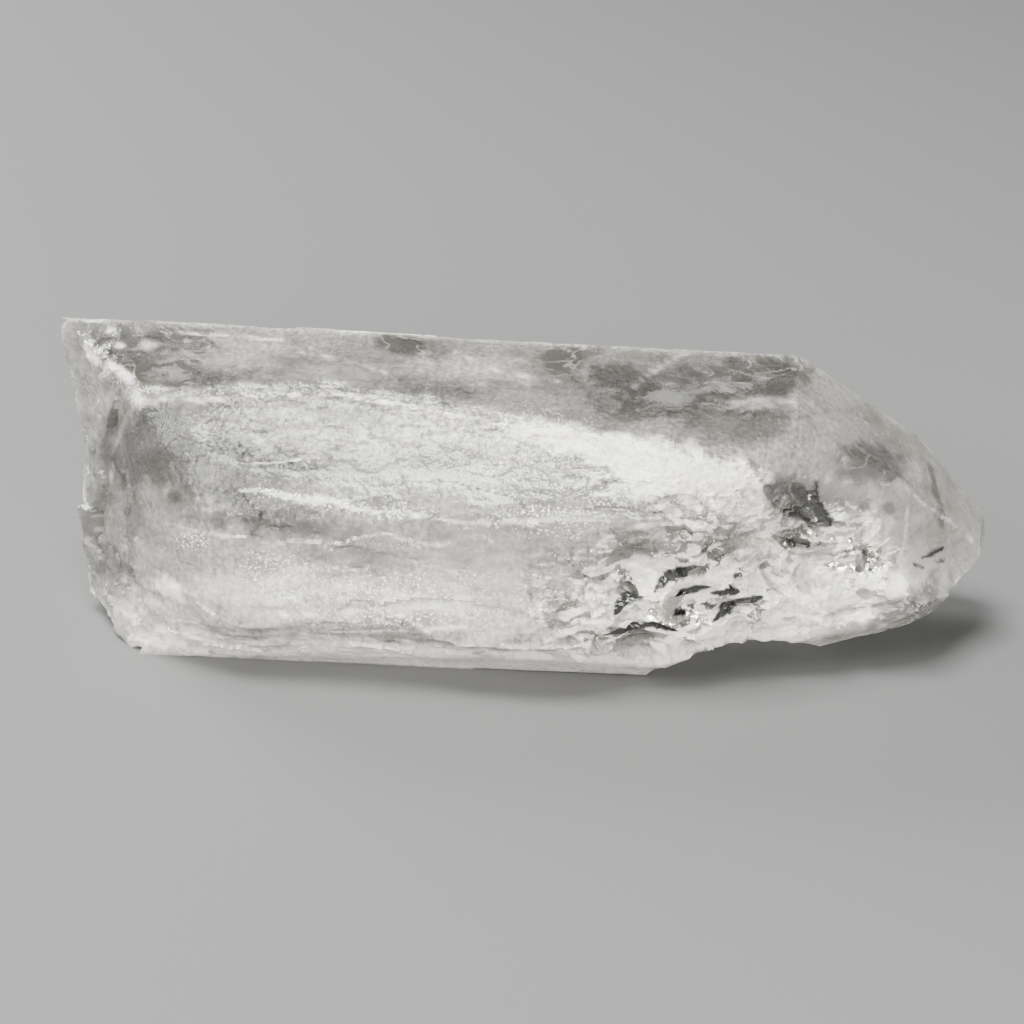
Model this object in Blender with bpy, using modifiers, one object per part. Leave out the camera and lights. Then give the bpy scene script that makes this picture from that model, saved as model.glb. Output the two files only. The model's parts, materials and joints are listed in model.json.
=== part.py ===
"""Quartz point: one six-sided rock crystal, lying on its long worn side.

The crystal's long axis runs along X with the pointed end towards +X. The broken root
end is towards -X. Units are metres, +Z is up, and the origin is the bottom centre of
the bounding box, on the surface that the crystal lies on.
"""

from dataclasses import dataclass
from math import cos, radians, sin

import bmesh
import bpy
from mathutils import Euler, Vector

MM = 0.001

# Driving dimensions, in millimetres and degrees.
AXIS_HEIGHT = 14.0        # height of the long axis above the resting face
BLANK_SIDE = 160.0        # cube that the faces are cleaved from
EDGE_WEAR = 0.22          # width of the worn bevel along every edge
ROOT_HOLLOW_RADIUS = 40.0
SCOOP_SUBDIVISIONS = 4
NOTCH_SUBDIVISIONS = 2


@dataclass(frozen=True)
class Face:
    """One flat face, seen from a point on the long axis.

    roll turns around the long axis: 0 is the front (-Y) and 90 is straight up.
    lean tips the face's normal towards the point (+X). reach is its distance in mm.
    """

    roll: float
    lean: float
    reach: float

    def normal(self) -> Vector:
        """Outward unit normal."""
        roll, lean = radians(self.roll), radians(self.lean)
        return Vector((sin(lean), -cos(lean) * cos(roll), cos(lean) * sin(roll)))


@dataclass(frozen=True)
class Scoop:
    """One shell-shaped fracture: an ellipsoid that is taken out of the crystal."""

    centre: tuple[float, float, float]
    radii: tuple[float, float, float]
    turn: tuple[float, float, float] = (0.0, 0.0, 0.0)
    subdivisions: int = SCOOP_SUBDIVISIONS


# The six prism faces, rolled 15 degrees from upright and stretched as grown.
PRISM = {
    "resting": Face(-90.0, 0.0, AXIS_HEIGHT),
    "top": Face(75.0, 1.1, 14.4),
    "front_upper": Face(40.0, -2.1, 15.3),
    "front_lower": Face(8.5, -3.1, 15.25),
    "front_foot": Face(-50.8, 0.4, 16.6),
    "back_upper": Face(135.0, 0.7, 16.75),
    "back": Face(-165.0, 0.0, 16.0),
}

# The faces of the point. The broad top one leans at quartz's 38 degrees.
POINT = {
    "point_top": Face(76.3, 39.2, 28.8),
    "point_strip": Face(78.8, 48.0, 33.3),
    "point_front": Face(39.8, 46.9, 31.4),
    "point_back_upper": Face(130.0, 22.4, 26.6),
    "point_back": Face(166.2, 18.7, 25.2),
    "point_low": Face(-42.1, 35.7, 31.2),
    "point_under": Face(-90.0, 12.5, 17.6),
}

# Flat breaks: the root end, where the crystal left its matrix, the tip, and the belly.
BREAKS = {
    "tip": Face(60.0, 78.0, 46.3),
    "tip_lower": Face(-81.4, 40.1, 34.2),
    "belly": Face(-41.3, 16.0, 20.3),
    "root_front": Face(7.6, -48.9, 34.9),
    "root_back": Face(-139.4, -78.8, 48.2),
    "root_corner": Face(-56.8, -46.1, 40.9),
}

FRACTURES = {
    "shoulder_scoop": Scoop((-18.8, -15.0, 21.0), (40.0, 13.5, 13.5)),
    "belly_fracture": Scoop((17.5, -26.5, -3.0), (14.0, 13.5, 13.5)),
    "belly_hollow": Scoop((26.0, -12.0, -19.6), (15.0, 14.0, 10.4)),
    "point_fracture": Scoop((36.0, -18.6, 3.2), (14.5, 14.0, 14.0)),
    "root_hollow": Scoop((-87.3, -3.0, 3.0), (ROOT_HOLLOW_RADIUS,) * 3),
    "tip_notch": Scoop((49.4, 4.5, -2.6), (1.2, 2.5, 0.6), (0.0, 25.0, 10.0), NOTCH_SUBDIVISIONS),
    "lip_notch": Scoop((46.5, -1.2, -6.7), (1.2, 2.0, 0.8), (0.0, 0.0, 30.0), NOTCH_SUBDIVISIONS),
}


def clear_scene() -> None:
    """Remove whatever the scene held."""
    for obj in list(bpy.data.objects):
        bpy.data.objects.remove(obj, do_unlink=True)


def new_collection(name: str) -> bpy.types.Collection:
    """A collection linked to the scene."""
    collection = bpy.data.collections.new(name)
    bpy.context.scene.collection.children.link(collection)
    return collection


def quartz_material() -> bpy.types.Material:
    """Colourless, see-through rock crystal with a faint warm grey."""
    material = bpy.data.materials.new("rock_crystal")
    material.use_nodes = True
    shader = material.node_tree.nodes["Principled BSDF"]
    shader.inputs["Base Color"].default_value = (0.78, 0.77, 0.75, 1.0)
    shader.inputs["Metallic"].default_value = 0.0
    shader.inputs["Roughness"].default_value = 0.08
    shader.inputs["IOR"].default_value = 1.544
    shader.inputs["Transmission Weight"].default_value = 1.0
    return material


def cleave(mesh: bmesh.types.BMesh, face: Face) -> None:
    """Cut away all that lies outside one flat face, and close the cut."""
    normal = face.normal()
    cut = bmesh.ops.bisect_plane(
        mesh,
        geom=mesh.verts[:] + mesh.edges[:] + mesh.faces[:],
        plane_co=normal * face.reach * MM,
        plane_no=normal,
        clear_outer=True,
    )
    rim = [item for item in cut["geom_cut"] if isinstance(item, bmesh.types.BMEdge)]
    bmesh.ops.edgenet_fill(mesh, edges=rim)


def cleaved_crystal(material: bpy.types.Material, home: bpy.types.Collection) -> bpy.types.Object:
    """The whole crystal with flat faces, cleaved from a block."""
    mesh = bmesh.new()
    bmesh.ops.create_cube(mesh, size=BLANK_SIDE * MM)
    for face in (*PRISM.values(), *POINT.values(), *BREAKS.values()):
        cleave(mesh, face)
    bmesh.ops.recalc_face_normals(mesh, faces=mesh.faces)
    data = bpy.data.meshes.new("quartz_point")
    mesh.to_mesh(data)
    mesh.free()
    data.materials.append(material)
    crystal = bpy.data.objects.new("quartz_point", data)
    home.objects.link(crystal)
    return crystal


def wear_edges(crystal: bpy.types.Object) -> None:
    """Round the edges as handling does."""
    bevel = crystal.modifiers.new("edge_wear", "BEVEL")
    bevel.width = EDGE_WEAR * MM
    bevel.segments = 2
    bevel.limit_method = "ANGLE"
    bevel.angle_limit = radians(8.0)


def scoop_cutter(name: str, scoop: Scoop, home: bpy.types.Collection) -> bpy.types.Object:
    """The ellipsoid that one fracture removes."""
    mesh = bmesh.new()
    bmesh.ops.create_icosphere(mesh, subdivisions=scoop.subdivisions, radius=MM)
    bmesh.ops.scale(mesh, vec=Vector(scoop.radii), verts=mesh.verts)
    turn = Euler([radians(angle) for angle in scoop.turn]).to_matrix().to_4x4()
    bmesh.ops.transform(mesh, matrix=turn, verts=mesh.verts)
    data = bpy.data.meshes.new(name)
    mesh.to_mesh(data)
    mesh.free()
    cutter = bpy.data.objects.new(name, data)
    cutter.location = Vector(scoop.centre) * MM
    cutter.hide_render = True
    cutter.display_type = "WIRE"
    home.objects.link(cutter)
    return cutter


def break_off(crystal: bpy.types.Object, cutter: bpy.types.Object) -> None:
    """Take one fracture out of the crystal."""
    boolean = crystal.modifiers.new(cutter.name, "BOOLEAN")
    boolean.operation = "DIFFERENCE"
    boolean.solver = "EXACT"
    boolean.object = cutter


def stand_on_origin(crystal: bpy.types.Object, cutters: bpy.types.Collection) -> None:
    """Move the crystal and its cutters so that the bottom centre of its box is the origin."""
    finished = crystal.evaluated_get(bpy.context.evaluated_depsgraph_get())
    corners = [Vector(corner) for corner in finished.bound_box]
    low = Vector(map(min, *corners))
    high = Vector(map(max, *corners))
    bottom_centre = Vector(((low.x + high.x) / 2, (low.y + high.y) / 2, low.z))
    for obj in (crystal, *cutters.objects):
        obj.location -= bottom_centre


def main() -> None:
    """Build the crystal."""
    clear_scene()
    parts = new_collection("quartz_point")
    cutters = new_collection("fracture_cutters")
    crystal = cleaved_crystal(quartz_material(), parts)
    wear_edges(crystal)
    for name, scoop in FRACTURES.items():
        break_off(crystal, scoop_cutter(name, scoop, cutters))
    stand_on_origin(crystal, cutters)


main()
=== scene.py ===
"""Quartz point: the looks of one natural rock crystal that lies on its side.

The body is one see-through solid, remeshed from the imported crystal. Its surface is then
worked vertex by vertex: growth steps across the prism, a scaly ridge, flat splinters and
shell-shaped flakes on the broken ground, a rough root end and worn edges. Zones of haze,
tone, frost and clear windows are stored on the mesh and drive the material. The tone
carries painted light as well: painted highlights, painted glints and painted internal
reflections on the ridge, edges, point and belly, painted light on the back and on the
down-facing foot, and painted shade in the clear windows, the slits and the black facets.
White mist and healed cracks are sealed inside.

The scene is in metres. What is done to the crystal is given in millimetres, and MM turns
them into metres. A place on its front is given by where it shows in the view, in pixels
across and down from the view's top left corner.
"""

from __future__ import annotations

import json
import logging
import math
from collections.abc import Sequence
from dataclasses import dataclass, field
from enum import Enum
from functools import cached_property

import bpy
import numpy as np
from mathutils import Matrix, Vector
from mathutils.bvhtree import BVHTree
from mathutils.kdtree import KDTree

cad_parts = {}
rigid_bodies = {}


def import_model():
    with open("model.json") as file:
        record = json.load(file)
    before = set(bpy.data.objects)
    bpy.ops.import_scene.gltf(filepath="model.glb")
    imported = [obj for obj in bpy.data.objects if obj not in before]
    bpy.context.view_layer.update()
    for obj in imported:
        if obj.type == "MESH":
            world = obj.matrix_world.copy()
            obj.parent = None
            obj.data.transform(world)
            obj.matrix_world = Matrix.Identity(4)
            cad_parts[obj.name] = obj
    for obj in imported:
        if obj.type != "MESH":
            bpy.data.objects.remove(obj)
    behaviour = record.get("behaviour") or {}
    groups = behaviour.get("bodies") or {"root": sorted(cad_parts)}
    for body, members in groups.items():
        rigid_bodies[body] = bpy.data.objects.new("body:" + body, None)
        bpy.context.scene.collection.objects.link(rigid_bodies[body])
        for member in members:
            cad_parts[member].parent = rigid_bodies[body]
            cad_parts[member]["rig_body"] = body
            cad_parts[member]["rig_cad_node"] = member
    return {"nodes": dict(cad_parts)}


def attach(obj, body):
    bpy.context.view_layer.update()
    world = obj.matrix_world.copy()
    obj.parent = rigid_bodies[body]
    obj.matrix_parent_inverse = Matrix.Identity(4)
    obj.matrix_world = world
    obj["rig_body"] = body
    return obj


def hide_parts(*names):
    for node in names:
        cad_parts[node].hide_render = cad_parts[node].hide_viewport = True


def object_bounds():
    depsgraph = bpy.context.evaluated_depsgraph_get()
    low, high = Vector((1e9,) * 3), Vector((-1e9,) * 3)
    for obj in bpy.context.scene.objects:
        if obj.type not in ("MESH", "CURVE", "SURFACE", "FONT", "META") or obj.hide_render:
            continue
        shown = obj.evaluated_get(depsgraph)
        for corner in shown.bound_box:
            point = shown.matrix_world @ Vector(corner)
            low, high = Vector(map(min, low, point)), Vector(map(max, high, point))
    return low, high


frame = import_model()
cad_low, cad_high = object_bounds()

MM = 0.001
NODE = "quartz_point"
BODY = "root"
REFRACTION = 1.544        # of quartz
VIEW_SIDE = 1024          # the view is taken to be square, this many pixels a side
UP = Vector((0.0, 0.0, 1.0))
LOG = logging.getLogger("quartz_point")

Point = tuple[float, float, float]
Colour = tuple[float, float, float]
Pair = tuple[float, float]
Route = tuple[Pair, ...]


# --------------------------------------------------------------------------- shader maths


class Term:
    """A shader value that Python operators work on. Each operator adds a Math node."""

    def __init__(self, graph: Graph, socket: bpy.types.NodeSocket) -> None:
        """Wrap one output socket of a graph."""
        self.graph = graph
        self.socket = socket

    def _math(self, operation: str, *values: Term | float, clamp: bool = False) -> Term:
        """Add one Math node.

        Args:
            operation: the node's operation.
            values: its inputs, in order.
            clamp: whether the result is held between 0 and 1.

        Returns:
            The node's result.
        """
        settings = {"operation": operation, "use_clamp": clamp}
        return self.graph.add("ShaderNodeMath", settings, dict(enumerate(values)))

    def __add__(self, other: Term | float) -> Term:
        """self + other."""
        return self._math("ADD", self, other)

    __radd__ = __add__

    def __sub__(self, other: Term | float) -> Term:
        """self - other."""
        return self._math("SUBTRACT", self, other)

    def __rsub__(self, other: Term | float) -> Term:
        """other - self."""
        return self._math("SUBTRACT", other, self)

    def __mul__(self, other: Term | float) -> Term:
        """self * other."""
        return self._math("MULTIPLY", self, other)

    __rmul__ = __mul__

    def __abs__(self) -> Term:
        """self without its sign."""
        return self._math("ABSOLUTE", self)

    def at_least(self, other: Term | float) -> Term:
        """The larger of self and other."""
        return self._math("MAXIMUM", self, other)

    def held(self) -> Term:
        """self, held between 0 and 1."""
        return self._math("ADD", self, 0.0, clamp=True)

    def step(self, low: float, high: float) -> Term:
        """Rise smoothly with self.

        Args:
            low: where the result is 0.
            high: where it is 1.

        Returns:
            The result.
        """
        settings = {"interpolation_type": "SMOOTHSTEP"}
        sockets = {"Value": self, "From Min": low, "From Max": high}
        return self.graph.add("ShaderNodeMapRange", settings, sockets)


class Graph:
    """The node tree of one material."""

    def __init__(self, name: str) -> None:
        """Start an empty material.

        Args:
            name: the material's name.
        """
        self.material = bpy.data.materials.new(name)
        self.material.use_nodes = True
        self.tree = self.material.node_tree
        self.tree.nodes.clear()

    def add(
        self,
        kind: str,
        settings: dict[str, object] | None = None,
        sockets: dict[str | int, object] | None = None,
        out: str | int = 0,
    ) -> Term:
        """Add any node.

        Args:
            kind: the node's type.
            settings: the node's own properties, set first.
            sockets: values, or Terms to link, by socket name or number.
            out: the output that the Term stands for.

        Returns:
            The chosen output.
        """
        node = self.tree.nodes.new(kind)
        for key, value in (settings or {}).items():
            setattr(node, key, value)
        for key, value in (sockets or {}).items():
            if isinstance(value, Term):
                self.tree.links.new(value.socket, node.inputs[key])
            else:
                node.inputs[key].default_value = value
        return Term(self, node.outputs[out])

    def place(self) -> Term:
        """The point on the piece, in metres."""
        return self.add("ShaderNodeTexCoord", out="Object")

    def stored(self, name: str) -> Term:
        """A number that the mesh stores for each vertex."""
        settings = {"attribute_type": "GEOMETRY", "attribute_name": name}
        return self.add("ShaderNodeAttribute", settings, out="Fac")

    def stretched(self, scale: Point) -> Term:
        """The point on the piece, scaled along each axis for a pattern."""
        sockets = {"Vector": self.place(), "Scale": scale}
        return self.add("ShaderNodeMapping", {"vector_type": "POINT"}, sockets)

    def noise(self, where: Term, scale: float, detail: float, twist: float = 0.0) -> Term:
        """Fractal noise between 0 and 1.

        Args:
            where: the point to read it at.
            scale: how many features there are to the unit.
            detail: its octaves.
            twist: how much it is distorted.

        Returns:
            The noise.
        """
        sockets = {"Vector": where, "Scale": scale, "Detail": detail, "Distortion": twist}
        return self.add("ShaderNodeTexNoise", {}, sockets)

    def bump(self, height: Term, strength: float, distance: float) -> Term:
        """Lean the surface with a height.

        Args:
            height: how high each place is.
            strength: how much of the lean shows.
            distance: how far one unit of height rises, in metres.

        Returns:
            The leaning normal.
        """
        sockets = {"Strength": strength, "Distance": distance, "Height": height}
        return self.add("ShaderNodeBump", {}, sockets)

    def principled(self, sockets: dict[str | int, object]) -> Term:
        """A Principled surface with these sockets."""
        return self.add("ShaderNodeBsdfPrincipled", {}, sockets, out="BSDF")

    def output(self, surface: Term, volume: Term | None = None) -> bpy.types.Material:
        """Finish the material.

        Args:
            surface: its surface.
            volume: what fills it, if anything does.

        Returns:
            The material.
        """
        node = self.tree.nodes.new("ShaderNodeOutputMaterial")
        self.tree.links.new(surface.socket, node.inputs["Surface"])
        if volume is not None:
            self.tree.links.new(volume.socket, node.inputs["Volume"])
        return self.material


# --------------------------------------------------------------------------- number fields

CELL_STEPS = np.array([374761393, 668265263, 2147483647])     # these scatter whole numbers
SEED_STEP = 1274126177
SCATTER = 1103515245
LOW_32_BITS = 0xFFFFFFFF
LOW_16_BITS = 0xFFFF


def smooth_step(value: np.ndarray, low: float, high: float) -> np.ndarray:
    """Rise smoothly from 0 at low to 1 at high."""
    share = np.clip((value - low) / (high - low), 0.0, 1.0)
    return share * share * (3.0 - 2.0 * share)


def lattice(cells: np.ndarray, seed: int) -> np.ndarray:
    """Repeatable chance.

    Args:
        cells: three whole numbers in each row.
        seed: which chance to read.

    Returns:
        A number between -1 and 1 for each row.
    """
    mixed = cells.astype(np.int64) @ CELL_STEPS
    mixed = (mixed + seed * SEED_STEP) & LOW_32_BITS
    mixed = ((mixed ^ (mixed >> 13)) * SCATTER) & LOW_32_BITS
    mixed = (mixed ^ (mixed >> 16)) & LOW_16_BITS
    return mixed / (LOW_16_BITS / 2) - 1.0


def grain(points: np.ndarray, size: float, seed: int) -> np.ndarray:
    """Smooth noise between -1 and 1.

    Args:
        points: where to read it, one row each, in millimetres.
        size: the width of one feature in millimetres.
        seed: which noise to read.

    Returns:
        One number for each point.
    """
    scaled = points / size
    base = np.floor(scaled)
    part = smooth_step(scaled - base, 0.0, 1.0)
    total = np.zeros(len(points))
    for corner in np.ndindex(2, 2, 2):
        weight = np.prod(np.where(np.array(corner) == 1, part, 1.0 - part), axis=1)
        total += weight * lattice(base + corner, seed)
    return total


def rough_grain(points: np.ndarray, size: float, octaves: int, seed: int) -> np.ndarray:
    """Fractal noise: each octave is half as wide and half as strong.

    Args:
        points: where to read it, one row each, in millimetres.
        size: the width of the widest features in millimetres.
        octaves: how many layers there are.
        seed: which noise to read.

    Returns:
        One number for each point.
    """
    total = np.zeros(len(points))
    for octave in range(octaves):
        total += grain(points, size / 2**octave, seed + octave) / 2**octave
    return total


# --------------------------------------------------------------------------- the camera


@dataclass(frozen=True)
class Viewpoint:
    """The camera: where it looks from, and what it looks at."""

    target: Point = (-0.00055, -0.0006, 0.014)
    azimuth: float = 6.0
    elevation: float = 24.0
    distance: float = 0.300
    lens_mm: float = 100.0
    sensor_mm: float = 36.0
    nearest: float = 0.001
    farthest: float = 20.0

    def back(self) -> Vector:
        """The direction from the target to the camera.

        Returns:
            A unit vector.
        """
        turn, rise = math.radians(self.azimuth), math.radians(self.elevation)
        return Vector(
            (math.sin(turn) * math.cos(rise), -math.cos(turn) * math.cos(rise), math.sin(rise))
        )

    def axes(self) -> tuple[Vector, Vector, Vector]:
        """The view's own directions.

        Returns:
            Unit vectors to the right, upwards and back towards the camera.
        """
        back = self.back()
        right = (-back).cross(UP).normalized()
        return right, right.cross(-back), back

    def eye(self) -> Vector:
        """Where the camera stands."""
        return Vector(self.target) + self.back() * self.distance

    def ray(self, across: float, down: float) -> Vector:
        """The direction of sight through one place in the view.

        Args:
            across: pixels from the view's left edge.
            down: pixels from its top edge.

        Returns:
            A unit vector.
        """
        right, upward, back = self.axes()
        focal = self.lens_mm / self.sensor_mm * VIEW_SIDE
        half = VIEW_SIDE / 2
        sight = -back + right * ((across - half) / focal) - upward * ((down - half) / focal)
        return sight.normalized()

    def build(self) -> bpy.types.Object:
        """Make the scene's camera.

        Returns:
            The camera.
        """
        data = bpy.data.cameras.new("camera")
        data.lens = self.lens_mm
        data.sensor_width = self.sensor_mm
        data.clip_start = self.nearest
        data.clip_end = self.farthest
        camera = bpy.data.objects.new("camera", data)
        bpy.context.scene.collection.objects.link(camera)
        camera.location = self.eye()
        camera.rotation_euler = (-self.back()).to_track_quat("-Z", "Y").to_euler()
        bpy.context.scene.camera = camera
        LOG.info("camera at %s", tuple(round(value, 4) for value in camera.location))
        return camera


# --------------------------------------------------------------------------- the studio


@dataclass(frozen=True)
class Softbox:
    """One large, soft area light that faces the crystal."""

    name: str
    place: Point
    width: float
    height: float
    power: float
    aim: Point = (0.0, 0.0, 0.012)

    def build(self) -> bpy.types.Object:
        """Make the light.

        Returns:
            The light.
        """
        data = bpy.data.lights.new(self.name, "AREA")
        data.shape = "RECTANGLE"
        data.size = self.width
        data.size_y = self.height
        data.energy = self.power
        lamp = bpy.data.objects.new(self.name, data)
        bpy.context.scene.collection.objects.link(lamp)
        lamp.location = self.place
        line = Vector(self.aim) - Vector(self.place)
        lamp.rotation_euler = line.to_track_quat("-Z", "Y").to_euler()
        return lamp


@dataclass
class Studio:
    """A plain pale table, soft lights and a dim room."""

    floor_side: float = 4.0
    floor_colour: Colour = (0.155, 0.155, 0.153)
    floor_roughness: float = 0.9
    floor_gloss: float = 0.2
    room_colour: Colour = (1.0, 0.99, 0.97)
    room_light: float = 0.14
    softboxes: Sequence[Softbox] = field(
        default_factory=lambda: (
            Softbox("overhead_softbox", (-0.10, -0.08, 0.55), 0.35, 0.22, 7.6),
            Softbox("front_softbox", (-0.38, -0.45, 0.40), 0.30, 0.30, 4.2),
            Softbox("low_softbox", (0.10, -0.62, 0.20), 0.45, 0.16, 5.6),
            Softbox("rear_softbox", (-0.42, 0.38, 0.32), 0.25, 0.25, 6.0),
        )
    )

    def floor(self) -> bpy.types.Object:
        """Make the table top.

        Returns:
            The table top.
        """
        bpy.ops.object.select_all(action="DESELECT")
        bpy.ops.mesh.primitive_plane_add(size=self.floor_side, location=(0.0, 0.0, 0.0))
        top = bpy.context.object
        top.name = "table_top"
        graph = Graph("matt_table")
        surface = graph.principled(
            {
                "Base Color": (*self.floor_colour, 1.0),
                "Roughness": self.floor_roughness,
                "Specular IOR Level": self.floor_gloss,
            }
        )
        top.data.materials.append(graph.output(surface))
        return top

    def room(self) -> None:
        """Make the dim light that comes from all round."""
        world = bpy.data.worlds.new("room")
        world.use_nodes = True
        background = world.node_tree.nodes["Background"]
        background.inputs["Color"].default_value = (*self.room_colour, 1.0)
        background.inputs["Strength"].default_value = self.room_light
        bpy.context.scene.world = world

    def build(self) -> None:
        """Make the floor, the room and the lights."""
        self.floor()
        self.room()
        for softbox in self.softboxes:
            softbox.build()
        LOG.info("studio with %d softboxes", len(self.softboxes))


# --------------------------------------------------------------------------- the finish


@dataclass(frozen=True)
class RockCrystal:
    """The crystal's own finish: clear quartz under a clouded and frosted skin, with painted light and shade
    in its tone.

    A scale is how many features a pattern has to the metre, or to the metre along each axis
    where it is drawn out. A range is where a pattern starts to show and where it shows in
    full. relief is the height of the finest roughness in metres. The last nine say how much
    a pattern changes the cover, the paleness, the roughness or the height.
    """

    clear_tint: Colour = (0.90, 0.892, 0.872)
    density: float = 100.0
    # dark is the colour at tone 0: painted shade in clear windows, slits and black facets. white is the
    # colour at tone 1: the white mist, and painted highlights, painted internal reflections and painted
    # glints.
    dark: Colour = (0.030, 0.030, 0.029)
    white: Colour = (0.98, 0.953, 0.865)
    relief: float = 0.00012
    relief_strength: float = 0.7
    fine_scale: float = 1900.0
    cloud_scale: float = 150.0
    speck_scale: float = 3600.0
    drawn_scale: Point = (110.0, 460.0, 460.0)
    growth_scale: Point = (2000.0, 160.0, 160.0)
    swirl_scale: Point = (110.0, 190.0, 190.0)
    wisp_width: float = 0.03
    speck_range: Pair = (0.58, 0.63)
    flake_range: Pair = (0.60, 0.80)
    coarse_range: Pair = (-0.2, 0.15)
    mottle_cover: float = 0.9
    wisp_cover: float = 0.30
    wisp_shade: float = 0.25
    scale_shade: float = 0.6
    polish: float = 0.06            # the roughness of bare quartz
    frost_rough: float = 0.40
    fine_rough: float = 0.20
    milk_rough: float = 0.08        # how much rougher the milky skin is
    frost_height: float = 1.6

    def milkiness(self, graph: Graph, fine: Term, drawn: Term) -> tuple[Term, Term]:
        """Mix the patterns of the milky skin.

        Args:
            graph: the material's graph.
            fine: the finest noise, about 0.
            drawn: noise drawn out along the crystal, about 0.

        Returns:
            How much of the skin covers the clear quartz, and how pale it is.
        """
        haze = graph.stored("haze")
        tone = graph.stored("tone")
        streaks = graph.stored("streaks")
        cloud = graph.noise(graph.place(), self.cloud_scale, 4.0, 0.5) - 0.5
        growth = graph.noise(graph.stretched(self.growth_scale), 1.0, 1.0) - 0.5
        swirl = graph.noise(graph.stretched(self.swirl_scale), 1.0, 3.0, 1.6) - 0.5
        wisp = graph.stored("clear") * (1.0 - abs(swirl).step(0.0, self.wisp_width))
        coarse = cloud.step(*self.coarse_range)
        mottle = drawn * streaks * 0.6 + cloud * (0.8 - streaks * 0.3)
        mottle = mottle + fine * (0.5 + coarse * 0.6) * (0.35 + streaks * 0.65)
        mottle = mottle + growth * coarse * streaks * 0.4
        middle = haze * (1.0 - haze) * 4.0      # 1 where the haze is half, 0 at its ends
        share = haze + mottle * middle * self.mottle_cover + wisp * self.wisp_cover
        shade = tone + mottle * (0.20 + tone * 0.4)
        shade = shade + graph.stored("scaly") * fine * self.scale_shade
        return share, shade + wisp * self.wisp_shade

    def build(self) -> bpy.types.Material:
        """Make the material.

        Returns:
            The material.
        """
        graph = Graph("rock_crystal")
        frost = graph.stored("frost")
        silver = graph.stored("silver")
        fine = graph.noise(graph.place(), self.fine_scale, 2.0) - 0.5
        drawn = graph.noise(graph.stretched(self.drawn_scale), 1.0, 3.0, 0.8) - 0.5
        # Painted glints: white dots painted into the colour, and made solid, where the mesh stores glint.
        specks = graph.noise(graph.place(), self.speck_scale, 1.0)
        dots = specks.step(*self.speck_range) * graph.stored("glint")
        flake = (silver + (fine * 0.7 + drawn * 3.0) * silver).step(*self.flake_range)
        share, shade = self.milkiness(graph, fine, drawn)
        colour = graph.add(
            "ShaderNodeMix",
            {"data_type": "RGBA"},
            {"Factor": (shade + dots).held(), "A": (*self.dark, 1.0), "B": (*self.white, 1.0)},
            out="Result",
        )
        rough = (self.polish + frost * self.frost_rough + fine * self.fine_rough).held()
        height = fine * (0.7 + frost * self.frost_height + graph.stored("scaly"))
        bump = graph.bump(height, self.relief_strength, self.relief)
        clear = graph.principled(
            {
                "Base Color": (1.0, 1.0, 1.0, 1.0),
                "Roughness": rough,
                "IOR": REFRACTION,
                "Transmission Weight": 1.0,
                "Normal": bump,
            }
        )
        milk = graph.principled(
            {
                "Base Color": colour,
                "Metallic": flake,
                "Roughness": (rough * 0.8 + flake * 0.12 + self.milk_rough).held(),
                "IOR": REFRACTION,
                "Normal": bump,
            }
        )
        solid = share.at_least(dots).at_least(flake).held()
        surface = graph.add("ShaderNodeMixShader", {}, {0: solid, 1: clear, 2: milk})
        volume = graph.add(
            "ShaderNodeVolumeAbsorption",
            {},
            {"Color": (*self.clear_tint, 1.0), "Density": self.density},
        )
        return graph.output(surface, volume)


# --------------------------------------------------------------------------- places on it


class Sight:
    """Finds the places on the crystal that the camera sees, in millimetres."""

    calm_reach: float = 1.5         # how far around a place its calm normal is averaged
    wall_share: float = 0.85        # how far through the crystal a sealed thing may lie
    shallowest: float = 0.3         # how near the surface it lies where there is room
    thinnest: float = 0.2           # how deep it lies where there is next to no room
    head_start: float = 0.1         # how far in a line through the crystal starts

    def __init__(self, view: Viewpoint, body: bpy.types.Object) -> None:
        """Read the crystal's shape.

        Args:
            view: the camera.
            body: the crystal.
        """
        self.view = view
        self.faces = [tuple(face.vertices) for face in body.data.polygons]
        self.tree = BVHTree.FromPolygons([v.co for v in body.data.vertices], self.faces)
        self.axes = np.array(view.axes())
        self.pixel_mm = view.distance / MM * view.sensor_mm / view.lens_mm / VIEW_SIDE

    def reshape(self, places: np.ndarray) -> None:
        """Follow the worked surface, whose places are given in millimetres."""
        self.tree = BVHTree.FromPolygons((places * MM).tolist(), self.faces)

    def spot(self, across: float, down: float) -> np.ndarray:
        """The place that shows at one pixel, or the one nearest to it.

        Args:
            across: pixels from the view's left edge.
            down: pixels from its top edge.

        Returns:
            The place.
        """
        eye, ray = self.view.eye(), self.view.ray(across, down)
        place = self.tree.ray_cast(eye, ray)[0]
        if place is None:
            place = self.tree.find_nearest(eye + ray * self.view.distance)[0]
        return np.array(place) / MM

    def calm_normal(self, spot: np.ndarray) -> np.ndarray:
        """The surface's direction, averaged over a few millimetres.

        Args:
            spot: a place on the surface.

        Returns:
            A unit vector.
        """
        total = Vector()
        for _, normal, _, _ in self.tree.find_nearest_range(Vector(spot * MM), self.calm_reach * MM):
            total += normal
        return np.array(total.normalized())

    def inside(self, across: float, down: float, depth: float) -> np.ndarray:
        """The place inside the crystal that shows at one pixel through the surface.

        Args:
            across: pixels from the view's left edge.
            down: pixels from its top edge.
            depth: how far in along the bent line of sight, in millimetres.

        Returns:
            The place, held between the two walls that the line crosses.
        """
        spot = self.spot(across, down)
        normal = self.calm_normal(spot)
        ray = np.array(self.view.ray(across, down))
        cosine = -ray @ normal
        bent = ray / REFRACTION
        bent -= normal * (math.sqrt(1.0 - (1.0 - cosine**2) / REFRACTION**2) - cosine / REFRACTION)
        start = Vector((spot + bent * self.head_start) * MM)
        through = self.tree.ray_cast(start, Vector(bent))[3] or 0.0
        limit = max(through / MM * self.wall_share, self.thinnest)
        return spot + bent * min(max(depth, self.shallowest), limit)


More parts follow.
